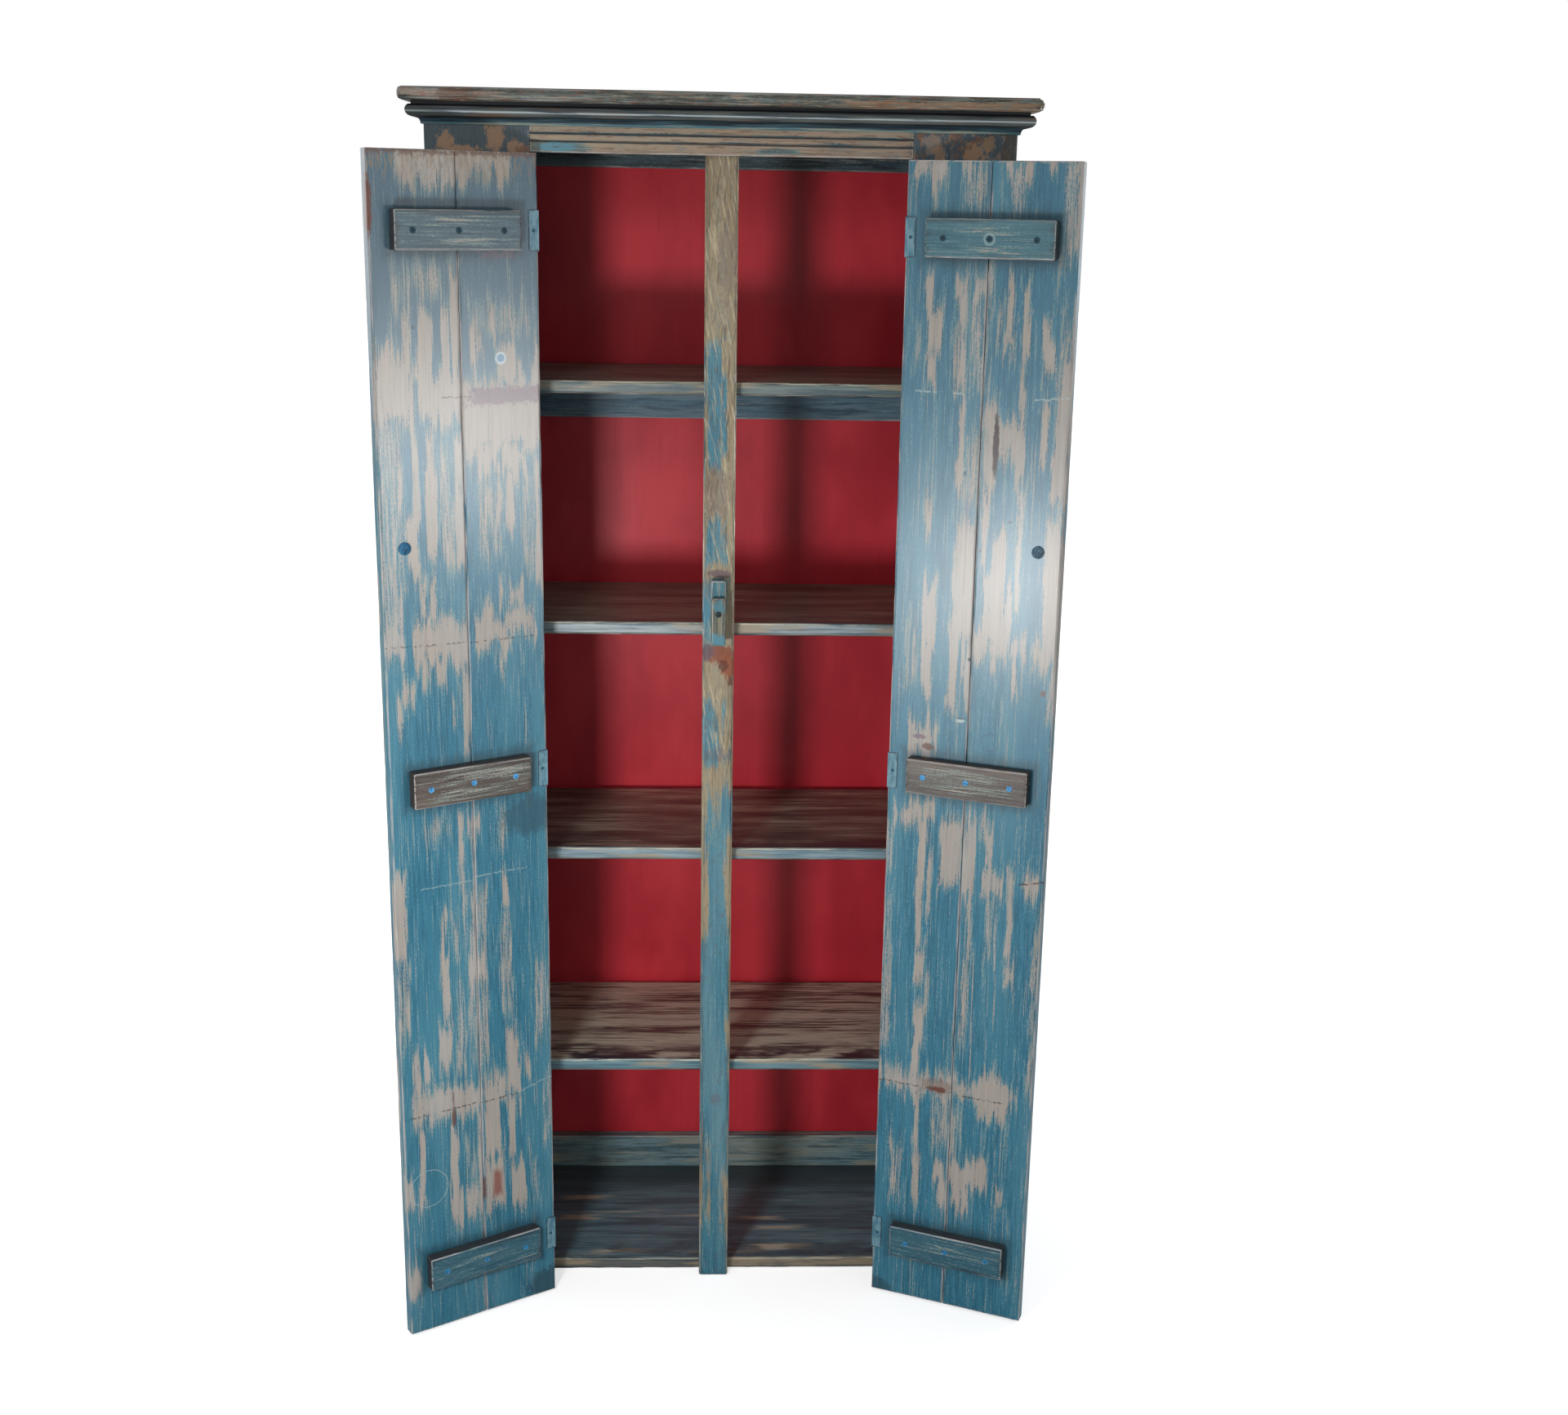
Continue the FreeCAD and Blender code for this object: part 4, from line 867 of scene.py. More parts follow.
# %% [markdown]
# The cornice's cap is olive and brown where hands and dust wore it, and the frieze under it is scraped
# in long level strokes, with dark glaze and painted shade in its two grooves. Both are boards with a
# level grain, so they take the doors' finish, laid on its side.

# %% Cornice cap and frieze
CAP_TONES = (paint_chip(92, 88, 78), paint_chip(54, 52, 48), paint_chip(88, 104, 102))
cap_strokes = millimetres([(1820, -430, -300, 3), (1816, 160, 430, 4), (1824, -100, 20, 1)])
coat("cornice_cap", worn_paint(
    "cornice_cap", "X", cap_strokes, seed=61, tones=CAP_TONES, wear=0.0035, across="z", film=0.6,
    bare=paint_chip(140, 112, 86), bare_dark=paint_chip(94, 64, 46),
    marks=[blot(1.818, -0.36, 0.012, 0.03, paint_chip(96, 66, 48), 0.7),
           mottle(RUST, 0.5, 4.4, 0.005, 0.030, "X", 0.53),
           mottle(paint_chip(84, 118, 122), 0.6, 6.1, 0.004, 0.024, "X", 0.55),
           mottle(paint_chip(164, 146, 118), 0.5, 8.3, 0.003, 0.020, "X", 0.56)]))
FRIEZE_TONES = (paint_chip(82, 108, 114), paint_chip(64, 76, 78), paint_chip(124, 124, 112))
frieze_strokes = millimetres([(1753, -180, 270, 8), (1767, -270, 270, 3.5), (1780, -270, 270, 5)])
frieze_painted = millimetres([(1755, -235, -200, 6), (1754, 60, 100, 2)])
GROOVE_HEIGHTS = (1.7722, 1.7620)


def near_groove(finish):
    """Metres outside the nearer groove of the frieze."""
    return abs(finish.z - GROOVE_HEIGHTS[0]).least(abs(finish.z - GROOVE_HEIGHTS[1])) * 11 - 0.012


coat("frieze_rail", worn_paint(
    "frieze_rail", "X", frieze_strokes, (), frieze_painted, seed=67, tones=FRIEZE_TONES, across="z",
    bare=paint_chip(158, 136, 114), bare_dark=paint_chip(112, 82, 62), bare_pale=paint_chip(180, 160, 134),
    wear=0.0025, film=0.6, near=near_groove, fray_wide=0.008,
    marks=[blot(1.7545, -0.225, 0.006, 0.028, paint_chip(84, 138, 154), 0.9, 1.2),
           mottle(RUST_DARK, 0.50, 2.2, 0.003, 0.024, "X", 0.53),
           mottle(paint_chip(86, 116, 124), 0.4, 5.8, 0.004, 0.030, "X", 0.56)]))
print("cap and frieze painted")

# %% [markdown]
# The crown is a moulding: a pale lip at the bottom, a cove, a ridge, and a hollow under the cap. The
# solid has that profile already. Its cove, a crease above it and the hollow are painted dark as shade,
# and a bright line on the ridge is a painted highlight. The same members run round all three sides,
# each at one height, so the paint follows height and needs no picture of the profile.

# %% Crown
# heights: the lip's top, the ridge's foot, the shaded crease, the painted highlight and the shaded hollow's
# foot
LIP_TOP = (1.7842, 1.7856)
RIDGE_FOOT = (1.7900, 1.7915)
SHADED_CREASE = 1.7912
HIGHLIGHT_HEIGHT = 1.7975
SHADED_HOLLOW_FOOT = (1.8030, 1.8050)


def crown_paint(node, grain, seed):
    """Painted shade in the hollow under the cap, the cove and the crease, a painted highlight on the ridge,
    and a pale lip.
    """
    finish = start(node)
    fray = finish.noise(grain, 0.003, 0.08, 4, shift=seed)
    drift = finish.noise(grain, 0.02, 0.16, 3, shift=seed + 1)
    height = finish.z + (drift - 0.5) * 0.0022
    ridge = finish.blend(paint_chip(52, 64, 70), paint_chip(88, 92, 88), fray.rise(0.38, 0.60))
    ridge = finish.blend(ridge, paint_chip(104, 78, 60), drift.rise(0.54, 0.66) * 0.7)
    # painted highlight: a bright line along the ridge
    line = abs(height - HIGHLIGHT_HEIGHT).rise(0.0016, 0.0005) * fray.rise(0.34, 0.50)
    ridge = finish.blend(ridge, paint_chip(172, 184, 188), line * 0.85)
    # painted shade: the cove is dark
    shaded_cove = finish.blend(paint_chip(28, 42, 52), paint_chip(56, 84, 94), fray.rise(0.42, 0.64))
    lip = finish.blend(paint_chip(70, 110, 120), paint_chip(140, 146, 130), fray.rise(0.46, 0.62))
    colour = finish.blend(shaded_cove, ridge, height.rise(*RIDGE_FOOT))
    # painted shade: the hollow under the cap is near black
    colour = finish.blend(colour, paint_chip(12, 16, 24), height.rise(*SHADED_HOLLOW_FOOT) * 0.95)
    colour = finish.blend(lip, colour, height.rise(*LIP_TOP))
    # painted shade: a dark line in the crease between cove and ridge
    colour = finish.blend(colour, paint_chip(14, 20, 26), abs(height - SHADED_CREASE).rise(0.0012, 0.0004) * 0.8)
    return finish.surface(colour, 0.52 + fray * 0.15, fray, coat_weight=0.1, coat_roughness=0.3,
                          specular_ior_level=0.15)


for node, grain, seed in (("crown_front", "X", 71), ("crown_left", "Y", 73), ("crown_right", "Y", 75)):
    coat(node, crown_paint(node, grain, seed))
print("crown painted")

# %% [markdown]
# The stiles stand behind the open doors. Only their tops show, dark grey with orange-tan blots. Below
# the tops, and on the side panels, the paint is a guess that repeats the doors' kind of wear. A maker
# scrapes several strokes side by side, so a small loop lays them in bundles, and the same noise that
# frays a board makes their ends uneven.

# %% Stiles
def stroke_bundle(first, last, bottom, top, count, spread, widest, seed):
    """Strokes side by side whose ends are uneven, as a scraper leaves them."""
    strokes = []
    for number in range(count):
        lift = noise.noise(Vector((number * 1.7, seed, 0.5)))
        drop = noise.noise(Vector((number * 1.3, seed, 9.5)))
        across = first + (last - first) * (number + 0.5) / count + lift * 0.030
        half = 0.0015 + widest * abs(lift + drop)
        strokes.append((across, bottom + drop * spread, top + lift * spread, half))
    return strokes


STILE_GREY = paint_chip(66, 82, 90)
STILE_DARK = paint_chip(48, 58, 66)
ORANGE_TAN = paint_chip(170, 132, 98)
DUSTY_TAN = paint_chip(150, 132, 118)
RUSTY = paint_chip(120, 84, 60)
# each band: its two ends across, the heights it runs between, and its number of strokes
STILE_BANDS = (
    (0.275, 0.400, 1.52, 1.60, 5), (0.275, 0.400, 1.20, 1.27, 5), (0.275, 0.400, 0.98, 1.03, 6),
    (0.310, 0.400, 0.66, 0.80, 3), (0.275, 0.400, 0.355, 0.385, 5), (0.275, 0.350, 0.15, 0.20, 3),
)
stile_blots = {
    "left_stile": [blot(-0.378, 1.760, 0.011, 0.014, ORANGE_TAN, 0.8),
                   blot(-0.352, 1.748, 0.022, 0.007, ORANGE_TAN, 0.8),
                   blot(-0.310, 1.767, 0.013, 0.020, ORANGE_TAN, 0.85),
                   blot(-0.284, 1.753, 0.012, 0.010, ORANGE_TAN, 0.8),
                   blot(-0.268, 1.748, 0.014, 0.008, RUSTY, 0.8),
                   blot(-0.330, 1.742, 0.030, 0.006, RUSTY, 0.7)],
    "right_stile": [mottle(DUSTY_TAN, 0.65, 1.1, 0.010, 0.018, above=1.742),
                    mottle(RUSTY, 0.80, 2.3, 0.009, 0.014, start_at=0.50, above=1.742),
                    blot(0.288, 1.768, 0.014, 0.012, DUSTY_TAN, 0.6, 3.6),
                    blot(0.300, 1.752, 0.008, 0.014, ORANGE_TAN, 0.6, 3.6),
                    blot(0.348, 1.756, 0.014, 0.014, ORANGE_TAN, 0.75, 3.8),
                    blot(0.366, 1.768, 0.009, 0.010, ORANGE_TAN, 0.6, 3.6),
                    blot(0.325, 1.738, 0.050, 0.007, RUSTY, 0.7, 3.2),
                    blot(0.395, 1.760, 0.010, 0.022, paint_chip(72, 66, 56), 0.7)],
}
for number, node in enumerate(("left_stile", "right_stile")):
    flip = (-1, 1)[number]
    bare = []
    film = []
    for seed, (first, last, bottom, top, count) in enumerate(STILE_BANDS, number * 40 + 130):
        ends = (flip * first, flip * last)
        bare += stroke_bundle(*ends, bottom, top, count, 0.08, 0.010, seed)
        film += stroke_bundle(*ends, bottom - 0.06, top + 0.04, 1, 0.10, 0.018, seed + 30)
    top_grey = [mottle(STILE_GREY, 0.95, 4.2, start_at=0.30, above=1.70),
                mottle(STILE_DARK, 0.80, 6.6, 0.002, 0.050, start_at=0.50, above=1.70)]
    coat(node, worn_paint(node, "Z", bare, film, seed=77 + number * 7, wear=0.0025, grey=0.9,
                          marks=top_grey + stile_blots[node]))
print("stiles painted")

# %% [markdown]
# The side panels show from the sides only. Their bands of wear go from front to back, a little
# differently on each side, because the seed differs.

# %% Side panels
SIDE_BANDS = (
    (-0.17, 0.02, 1.50, 1.60, 5), (0.02, 0.18, 1.28, 1.35, 5), (-0.17, 0.18, 1.02, 1.06, 8),
    (-0.16, -0.04, 0.68, 0.80, 4), (0.06, 0.18, 0.52, 0.64, 3), (-0.17, 0.18, 0.345, 0.375, 7),
    (-0.04, 0.16, 0.15, 0.19, 4), (-0.17, 0.18, 1.75, 1.80, 7),
)
for number, node in enumerate(("left_side_panel", "right_side_panel")):
    bare = []
    film = []
    for seed, (first, last, bottom, top, count) in enumerate(SIDE_BANDS, number * 50):
        bare += stroke_bundle(first, last, bottom, top, count, 0.09, 0.010, seed)
        film += stroke_bundle(first, last, bottom - 0.08, top + 0.05, 2, 0.12, 0.020, seed + 20)
    coat(node, worn_paint(node, "Z", bare, film, seed=91 + number * 7, across="y", film=0.4))
print("side panels painted with", len(bare), "bare strokes each")

# %% [markdown]
# Shelves are dark brown boards with tan streaks under a satin varnish, and only their front edge is
# painted. The front is picked out by its place, a step in depth, instead of a second material, so that
# brown and blue can bleed into each other at the arris as a brush leaves them. Its arris has a pale
# line of wear with a painted highlight, and its lower edge a painted shade. The bottom board is painted
# all over and rubbed through, so it takes the same finish in blue tones, with a painted shadow at its
# back.

# %% Shelves and the bottom board
SHELF_DARK = paint_chip(72, 66, 62)
SHELF_BROWN = paint_chip(136, 126, 112)
SHELF_TAN = paint_chip(196, 188, 168)
FRONT_SHADE = paint_chip(34, 40, 46)
ARRIS_WEAR_AND_HIGHLIGHT = paint_chip(206, 202, 180)
FRONT_TAN = paint_chip(150, 134, 108)
# depths, in metres: where the painted front ends, and where dark patches and the painted back shadow fade
FRONT_EDGE = (-0.1395, -0.1415)
FRONT_PATCHES = (-0.07, -0.115)
BACK_SHADOW_DEPTHS = (0.06, 0.13)


def shelf_wood(node, seed, light, front_tones, dark=SHELF_DARK, brown=SHELF_BROWN, tan=SHELF_TAN,
               front_patches=0.0, arris_wear_and_highlight=1.0, tan_strokes=(), back_shadow=0.0):
    """Streaked wood on top, paint on the front edge; light moves the streaks towards tan."""
    finish = start(node)
    low, high = own_box(node)
    edge = edge_distance(finish, low, high)
    broad = finish.noise("X", 0.030, 0.26, 5, 0.6, shift=seed)
    streak = finish.noise("X", 0.0045, 0.13, 5, 0.66, shift=seed + 1)
    fine = finish.noise("X", 0.0014, 0.05, 4, shift=seed + 2)
    patch = finish.noise("X", 0.05, 0.11, 3, shift=seed + 3)
    mixed = broad * 0.5 + streak * 0.5
    top = finish.blend(dark, brown, mixed.rise(0.42, 0.54))
    top = finish.blend(top, tan, (mixed + (fine - 0.5) * 0.12).rise(0.60 - light, 0.68 - light))
    top = finish.blend(top, dark, fine.rise(0.50, 0.64) * 0.6)
    if tan_strokes:
        away = strokes_field(finish.y, finish.x, tan_strokes, end=0.2) + (streak - 0.5) * 0.030
        top = finish.blend(top, tan, away.rise(0.004, -0.004) * 0.75)
    reach = finish.y + (patch - 0.5) * 0.16
    shade = reach.rise(*FRONT_PATCHES) * (streak * 0.3 + patch * 0.7).rise(0.44, 0.52)
    top = finish.blend(top, FRONT_SHADE, shade * front_patches)
    # painted shadow: the back of the board darkens as if shaded by the back rail
    if back_shadow:
        reach = finish.y + (streak - 0.5) * 0.08
        top = finish.blend(top, FRONT_SHADE, reach.rise(*BACK_SHADOW_DEPTHS) * back_shadow)
    paint = finish.blend(front_tones[0], front_tones[1], streak.rise(0.38, 0.62))
    paint = finish.blend(paint, FRONT_TAN, broad.rise(0.50, 0.60) * 0.8)
    # the cream line on the front arris is wear with a painted highlight
    line = (edge + (fine - 0.5) * 0.004).rise(0.0034, 0.001)
    paint = finish.blend(paint, ARRIS_WEAR_AND_HIGHLIGHT, line * streak.rise(0.38, 0.5) * arris_wear_and_highlight)
    # painted shade along the lower edge of the front
    under = (finish.z + (fine - 0.5) * 0.006).rise(low.z + 0.006, low.z)
    paint = finish.blend(paint, FRONT_SHADE, under * 0.8)
    front = (finish.y + (streak - 0.5) * 0.006).rise(*FRONT_EDGE)
    colour = finish.blend(top, paint, front)
    return finish.surface(colour, 0.36 + streak * 0.2, streak + fine * 0.4, depth=0.0004,
                          coat_weight=0.25, coat_roughness=0.34)


for number, light, patches, front_tones in (
    (1, 0.16, 1.0, (paint_chip(52, 96, 112), paint_chip(98, 132, 140))),
    (2, 0.08, 0.8, (paint_chip(74, 108, 122), paint_chip(130, 150, 158))),
    (3, 0.03, 0.4, (paint_chip(70, 94, 104), paint_chip(140, 152, 156))),
    (4, 0.03, 0.2, (paint_chip(44, 70, 78), paint_chip(100, 116, 112))),
):
    node = f"shelf_{number}"
    coat(node, shelf_wood(node, 100 + number * 9, light, front_tones, front_patches=patches))
coat("bottom_board", shelf_wood(
    "bottom_board", 151, 0.03, (paint_chip(42, 54, 60), paint_chip(84, 88, 84)),
    dark=paint_chip(60, 86, 96), brown=paint_chip(98, 132, 142), tan=paint_chip(200, 184, 156),
    front_patches=0.6, arris_wear_and_highlight=0.35, back_shadow=0.8,
    tan_strokes=millimetres([(-110, 70, 147, 7), (-50, 78, 138, 5), (-20, 60, 100, 3),
                             (50, -249, -188, 6), (-15, -250, -200, 7), (-120, -180, -120, 3)])))
print("shelves varnished")

# %% [markdown]
# The back is one thin panel, deep red and satin. A flat red would look like plastic, so slow noise
# makes some parts deeper, and a fine upright brush pattern breaks up its shine. Its rear was never
# painted: behind the front face the same finish is bare wood, with rings, damp patches and a few knots.

# %% Red back panel
def red_panel():
    """Red paint in front, and bare wood behind."""
    finish = start("back_panel")
    slow = finish.noise("Z", 0.16, 0.30, 3)
    brush = finish.noise("Z", 0.003, 0.12, 4, shift=2)
    red = finish.blend(paint_chip(184, 34, 48), paint_chip(212, 52, 64), slow.rise(0.34, 0.66))
    red = finish.blend(red, paint_chip(132, 16, 30), brush.rise(0.55, 0.72) * 0.12)
    low, high = own_box("back_panel")
    behind = finish.y.rise(low.y + 0.0005, low.y + 0.0012)
    swell = finish.noise("Z", 0.13, 1.1, 3, 0.4, shift=5)
    rings = (swell * 150 + brush * 2.5).math("SINE") * 0.5 + 0.5
    plain = finish.blend(paint_chip(186, 156, 120), paint_chip(150, 116, 82), rings * 0.6 + brush * 0.3)
    damp = finish.noise("X", 0.16, 0.22, 4, shift=7)
    plain = finish.blend(plain, paint_chip(116, 92, 70), (damp - finish.z * 0.10).rise(0.40, 0.56) * 0.55)
    knots = finish.noise("Z", 0.030, 0.045, 2, shift=9)
    plain = finish.blend(plain, paint_chip(92, 58, 38), knots.rise(0.76, 0.80) * 0.8)
    rim = (edge_distance(finish, low, high) + (swell - 0.5) * 0.03).rise(0.012, 0.002)
    plain = finish.blend(plain, paint_chip(112, 86, 66), rim * 0.6)
    colour = finish.blend(red, plain, behind)
    return finish.surface(colour, 0.40 + brush * 0.12, brush, depth=0.00015, coat_weight=0.14,
                          coat_roughness=0.32, specular_ior_level=0.15)


coat("back_panel", red_panel())
print("back panel painted")

# %% [markdown]
# Three rails cross the back between the shelves. They are blue like the doors, less scraped and more
# cloudy, so they take the doors' finish without strokes, and two slow mottles make the clouds.

# %% Back rails
RAIL_TONES = {
    "back_bottom_rail": (paint_chip(108, 146, 158), paint_chip(60, 86, 96), paint_chip(164, 160, 140)),
    "back_middle_rail": (paint_chip(72, 112, 134), paint_chip(44, 68, 84), paint_chip(110, 132, 144)),
    "back_top_rail": (paint_chip(58, 78, 88), paint_chip(30, 38, 46), paint_chip(92, 110, 116)),
}
for number, (node, tones) in enumerate(RAIL_TONES.items()):
    coat(node, worn_paint(
        node, "X", seed=161 + number * 7, tones=tones, wear=0.003, across="z", fray_wide=0.006,
        marks=[mottle(tones[2], 0.7, number + 0.5, 0.012, 0.16, "X", 0.50),
               mottle(tones[1], 0.7, number + 4.5, 0.008, 0.12, "X", 0.52)]))
print(len(RAIL_TONES), "back rails painted")

# %% [markdown]
# The cleats that carry the shelves are plain sawn wood. Sawn boards show long fibres and a few darker
# bands, which two stretched noises give without any picture.

# %% Cleats of plain sawn wood
def sawn_wood(node, seed):
    """Brown fibres and bands along the depth, without any varnish."""
    finish = start(node)
    band = finish.noise("Y", 0.010, 0.30, 4, shift=seed)
    fibre = finish.noise("Y", 0.0012, 0.08, 4, shift=seed + 1)
    colour = finish.blend(paint_chip(86, 62, 46), paint_chip(134, 104, 76), band.rise(0.36, 0.62))
    colour = finish.blend(colour, paint_chip(64, 46, 36), fibre.rise(0.54, 0.70) * 0.5)
    return finish.surface(colour, 0.70 + fibre * 0.15, fibre, depth=0.0004)


for seed, side in ((201, "left"), (221, "right")):
    for number in range(1, 5):
        node = f"{side}_cleat_{number}"
        coat(node, sawn_wood(node, seed + number * 3))
print("cleats done")

# %% [markdown]
# The hinges were painted over with the doors, a lighter, cleaner blue that is darker along its edges.
# All leaves repeat at one spacing up the door, so folding the height back on the middle hinge lets one
# set of edge distances serve the three of them.

# %% Painted hinges
HINGE_MIDDLE = 0.875
HINGE_SPACING = 0.7685


def hinge_paint(node, seed):
    """Blue paint on metal, dark along its edges and chipped in specks."""
    finish = start(node)
    low, high = own_box(node)
    from_middle = abs(finish.z - HINGE_MIDDLE)
    folded = from_middle.least(abs(from_middle - HINGE_SPACING))
    half_rise = (high.z - low.z) / 2 - HINGE_SPACING
    low.z, high.z = -half_rise, half_rise
    edge = edge_distance(finish, low, high, folded)
    patch = finish.noise("Z", 0.006, 0.015, 4, shift=seed)
    fine = finish.noise("Z", 0.0015, 0.006, 3, shift=seed + 1)
    blue = finish.blend(paint_chip(62, 112, 132), paint_chip(104, 144, 158), patch.rise(0.36, 0.62))
    dark_rim = (edge + (patch - 0.5) * 0.004).rise(0.0022, 0.0005)
    colour = finish.blend(blue, paint_chip(30, 44, 54), dark_rim * 0.8)
    colour = finish.blend(colour, paint_chip(120, 110, 96), fine.rise(0.66, 0.72) * 0.6)
    return finish.surface(colour, 0.46 + fine * 0.2, patch + fine * 0.3, depth=0.0003,
                          coat_weight=0.1, coat_roughness=0.3, specular_ior_level=0.3)


for seed, node in enumerate(("left_frame_leaves", "right_frame_leaves", "left_door_leaves",
                             "right_door_leaves", "hinge_pins")):
    coat(node, hinge_paint(node, 241 + seed * 5))
print("hinges painted")

# %% [markdown]
# Screw heads were painted with the boards round them. One set of screws runs up a whole door, so its
# colour changes with height: blue at the bottom, brightest in the middle and dark at the top. Nails
# at the back and in the cap are bare steel with a little rust.

# %% Painted screws and nails
def screw_paint(node, seed, steps):
    """Paint on small metal heads, with a colour for each height on the door."""
    finish = start(node)
    patch = finish.noise("Z", 0.003, 0.003, 3, shift=seed)
    colour = steps[0][1]
    for height, tone in steps[1:]:
        colour = finish.blend(colour, tone, finish.z.rise(height, height + 0.01))
    colour = finish.blend(colour, paint_chip(20, 34, 42), patch.rise(0.50, 0.64) * 0.7)
    return finish.surface(colour, 0.50 + patch * 0.25, patch, depth=0.0002, specular_ior_level=0.18)


SCREW_BLUE = paint_chip(56, 134, 182)
SCREW_BRIGHT = paint_chip(84, 162, 216)
SCREW_DARK = paint_chip(34, 66, 80)
LEAF_BLUE = paint_chip(44, 92, 116)
for seed, node in enumerate(("left_batten_screws", "right_batten_screws")):
    steps = [(0, SCREW_BLUE), (0.5, SCREW_BRIGHT), (1.3, SCREW_DARK)]
    coat(node, screw_paint(node, 271 + seed * 5, steps))
for seed, node in enumerate(("left_door_leaf_screws", "right_door_leaf_screws", "left_frame_leaf_screws",
                             "right_frame_leaf_screws", "left_cleat_screws", "right_cleat_screws")):
    coat(node, screw_paint(node, 285 + seed * 5, [(0, LEAF_BLUE)]))
coat("left_knob_screw", screw_paint("left_knob_screw", 301, [(0, paint_chip(44, 104, 140))]))
coat("right_knob_screw", screw_paint("right_knob_screw", 303, [(0, paint_chip(84, 112, 130))]))
coat("turn_button_screw", screw_paint("turn_button_screw", 305, [(0, paint_chip(40, 52, 56))]))


def dull_steel(node, seed):
    """Grey metal with specks of rust."""
    finish = start(node)
    rust = finish.noise("Z", 0.002, 0.002, 4, shift=seed)
    colour = finish.blend(paint_chip(120, 116, 110), paint_chip(92, 58, 40), rust.rise(0.48, 0.62))
    return finish.surface(colour, 0.45 + rust * 0.2, rust, depth=0.0002, metallic=0.8)


coat("back_panel_nails", dull_steel("back_panel_nails", 311))
coat("cap_nails", dull_steel("cap_nails", 313))
print("screws and nails done")

# %% [markdown]
# The knobs, the turn button and its block are handled every day. They are small pieces of the doors'
# finish, rubbed further along their edges, and brown glaze stayed on the button and the block.

# %% Knobs, turn button and latch block
for seed, node in ((321, "left_knob"), (327, "right_knob")):
    coat(node, worn_paint(node, "Z", seed=seed, wear=0.004, film=0.5))
BUTTON_TONES = (paint_chip(104, 104, 88), paint_chip(64, 72, 68), paint_chip(134, 126, 100))
BLOCK_TONES = (paint_chip(60, 124, 142), paint_chip(50, 76, 88), paint_chip(84, 130, 140))
coat("turn_button", worn_paint(
    "turn_button", "Z", seed=333, tones=BUTTON_TONES, wear=0.0028, film=0.6, glaze_and_shade=0.9,
    bare=paint_chip(140, 122, 94), bare_dark=paint_chip(88, 70, 50),
    marks=[blot(0.0, 1.066, 0.013, 0.011, TURQUOISE_BRIGHT),
           blot(0.0, 1.118, 0.008, 0.010, TURQUOISE, 0.8)]))
coat("latch_block", worn_paint(
    "latch_block", "Z", seed=341, tones=BLOCK_TONES, wear=0.0028, film=0.5, glaze_and_shade=0.9,
    bare=paint_chip(132, 104, 72), bare_dark=paint_chip(80, 56, 38)))
painted = [name for name, node in nodes.items() if node.active_material.name.endswith("_finish")]
print(len(painted), "of", len(nodes), "solids have a finish;", sorted(set(nodes) - set(painted)))

# %% [markdown]
# A plain studio has a wide pale floor and an even white room. White around the object comes from what
# the camera and the gloss see, and not from more light on the paint: the floor glows for the camera
# only, more so further away, so that the shadow near the cupboard stays.

# %% Floor and world
FLOOR_REACH = 30
FLOOR_DROP = 0.0005
floor_shape = bmesh.new()
bmesh.ops.create_grid(floor_shape, x_segments=1, y_segments=1, size=FLOOR_REACH)
floor_mesh = bpy.data.meshes.new("floor")
floor_shape.to_mesh(floor_mesh)
floor_shape.free()
floor = bpy.data.objects.new("floor", floor_mesh)
floor.location.z = -FLOOR_DROP
bpy.context.scene.collection.objects.link(floor)

# how brightly the room lights the object, and how the floor glows near it and far from it
FILL = 0.42
NEAR_GLOW = 0.60
FAR_GLOW = 1.0
# the distances, in metres, between which the glow rises
GLOW_RISE = (0.9, 3.2)
floor_finish = Finish(bpy.data.materials.new("pale_floor"))
seen = floor_finish.node("ShaderNodeLightPath", out="Is Camera Ray")
matte = floor_finish.node("ShaderNodeBsdfDiffuse", {}, {"Color": (0.8, 0.8, 0.8, 1)})
spot = floor_finish.node("ShaderNodeTexCoord", out="Object")
away = floor_finish.node("ShaderNodeVectorMath", {"operation": "LENGTH"}, {0: spot}, out="Value")
strength = seen * (away.rise(*GLOW_RISE) * (FAR_GLOW - NEAR_GLOW) + NEAR_GLOW)
glow = floor_finish.node("ShaderNodeEmission", {}, {"Color": (1, 1, 1, 1), "Strength": strength})
both = floor_finish.node("ShaderNodeAddShader", {}, {0: matte, 1: glow})
floor_finish.node("ShaderNodeOutputMaterial", {}, {"Surface": both})
floor_mesh.materials.append(floor_finish.holder)

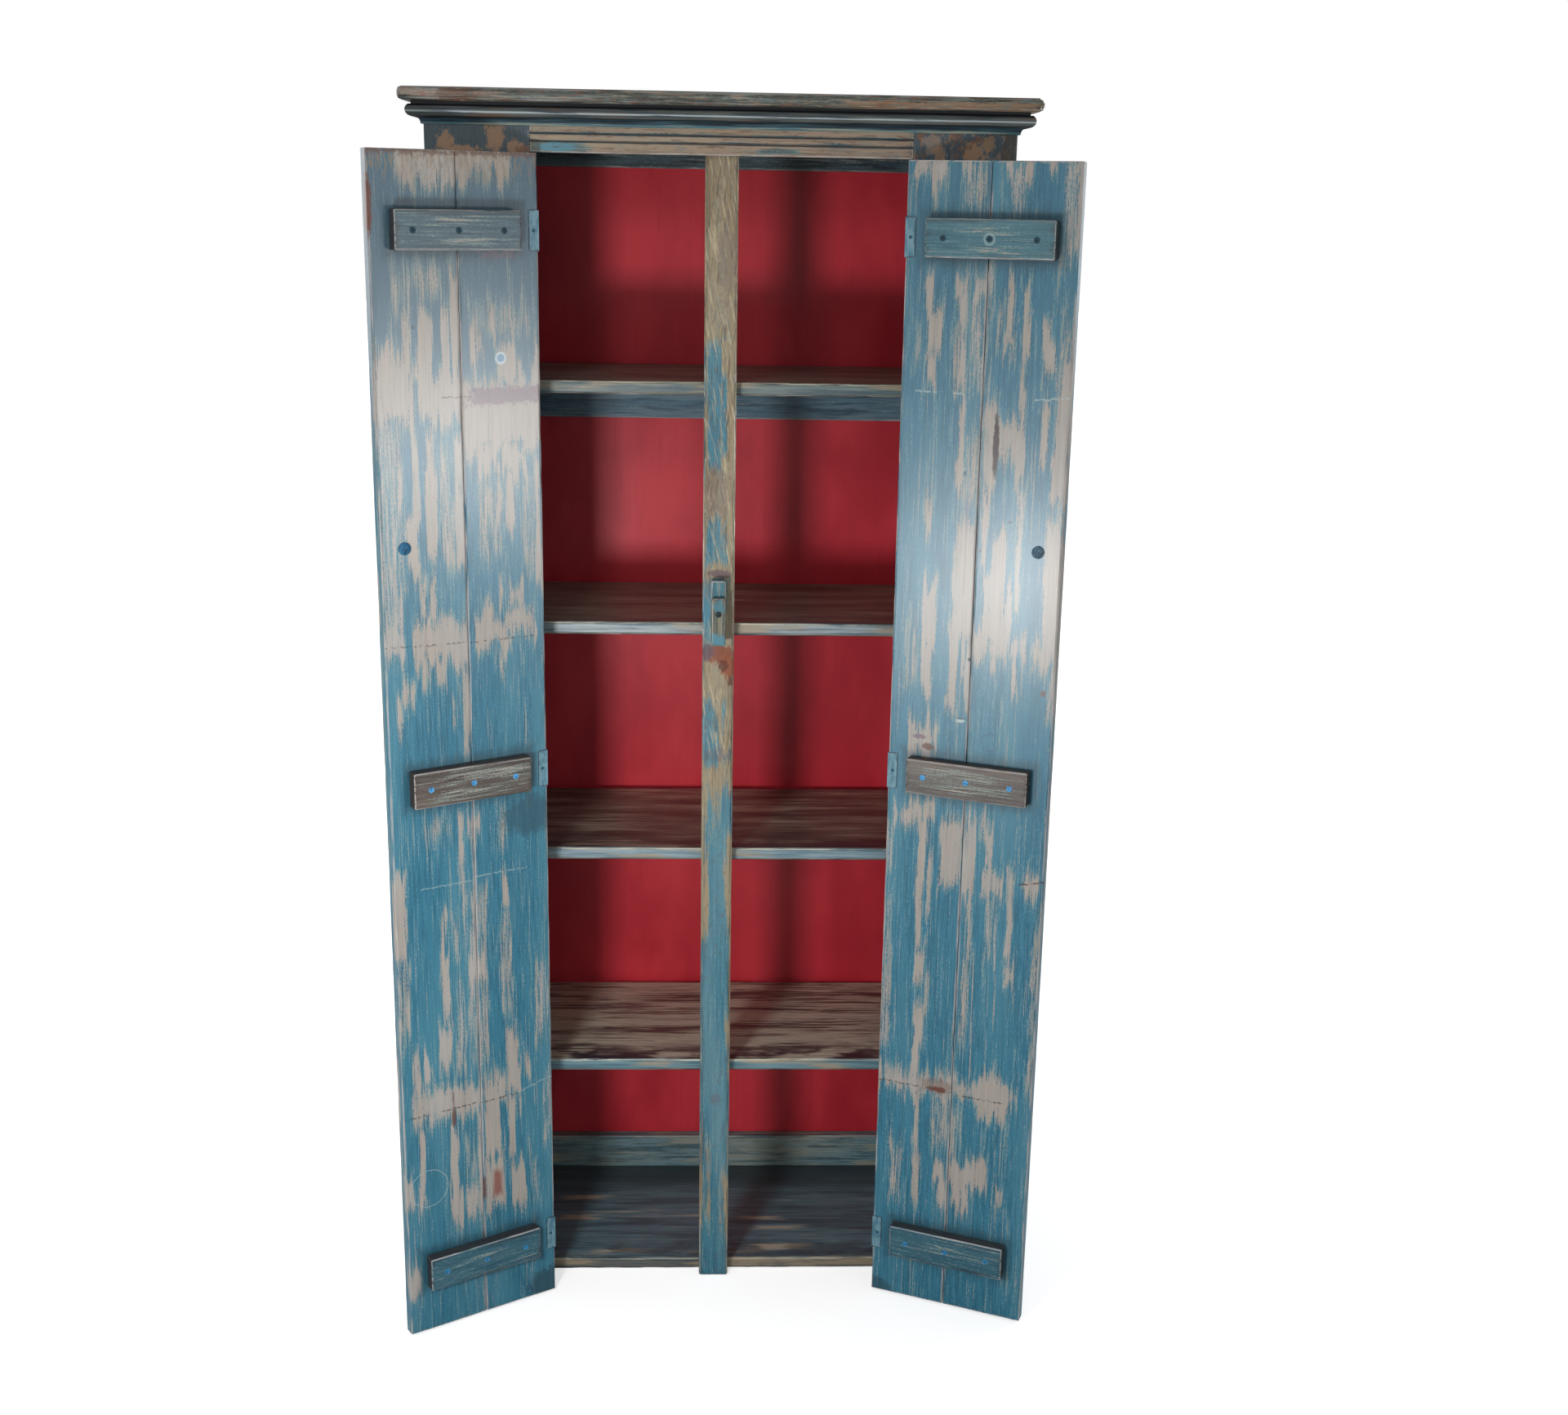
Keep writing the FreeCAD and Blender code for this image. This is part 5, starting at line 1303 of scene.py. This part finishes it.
world = bpy.data.worlds.new("white_room")
room = Finish(world)
camera_ray = room.node("ShaderNodeLightPath", out="Is Camera Ray")
mirror_ray = room.node("ShaderNodeLightPath", out="Is Glossy Ray")
glass_ray = room.node("ShaderNodeLightPath", out="Is Transmission Ray")
shown_white = camera_ray.most(mirror_ray).most(glass_ray)
strength = shown_white * (1 - FILL) + FILL
sky = room.node("ShaderNodeBackground", {}, {"Color": (1, 1, 1, 1), "Strength": strength})
room.node("ShaderNodeOutputWorld", {}, {"Surface": sky})
bpy.context.scene.world = world
print("floor and room white, fill light", FILL)

# %% [markdown]
# Two small lamps to the left of the camera draw the shadows of the doors and shelves on the red back,
# a low one and a weaker high one. A sun would be simpler, but its shadows are as sharp far from the
# edge as near it. Two wide lamps behind light the back, and two lamps the size of a window are seen in
# the paint's gloss only, where they give the doors their sheen.

# %% Lamps
def soft_lamp(name, place, aim, width, height, power):
    """A rectangular lamp that faces what it is aimed at."""
    data = bpy.data.lights.new(name, "AREA")
    data.shape = "RECTANGLE"
    data.size = width
    data.size_y = height
    data.energy = power
    lamp = bpy.data.objects.new(name, data)
    lamp.location = place
    lamp.rotation_euler = (Vector(aim) - Vector(place)).to_track_quat("-Z", "Y").to_euler()
    bpy.context.scene.collection.objects.link(lamp)
    return lamp


LAMPS = (
    # name, place, what it is aimed at, width, height, power and the kind of ray that doesn't see it
    ("low_key", (-0.50, -1.5, 0.88), (0, 0, 0.90), 0.20, 0.20, 11.5, "camera"),
    ("high_key", (-0.50, -1.5, 2.05), (0, 0, 1.0), 0.20, 0.20, 2.6, "camera"),
    ("left_fill", (-2.6, 1.3, 1.9), (0, 0.1, 0.95), 1.6, 1.6, 32, "camera"),
    ("right_fill", (2.6, 1.3, 1.9), (0, 0.1, 0.95), 1.6, 1.6, 32, "camera"),
    ("right_window", (2.1, -2.0, 0.98), (-0.4, -0.2, 1.4), 0.8, 0.40, 66, "diffuse"),
    ("left_window", (-1.6, -2.75, 0.56), (0.4, -0.25, 1.15), 0.8, 0.45, 50, "diffuse"),
)
for name, place, aim, width, height, power, unseen_by in LAMPS:
    lamp = soft_lamp(name, place, aim, width, height, power)
    setattr(lamp, "visible_" + unseen_by, False)
bpy.context.scene.view_settings.view_transform = "Standard"
print(len(LAMPS), "lamps lit")
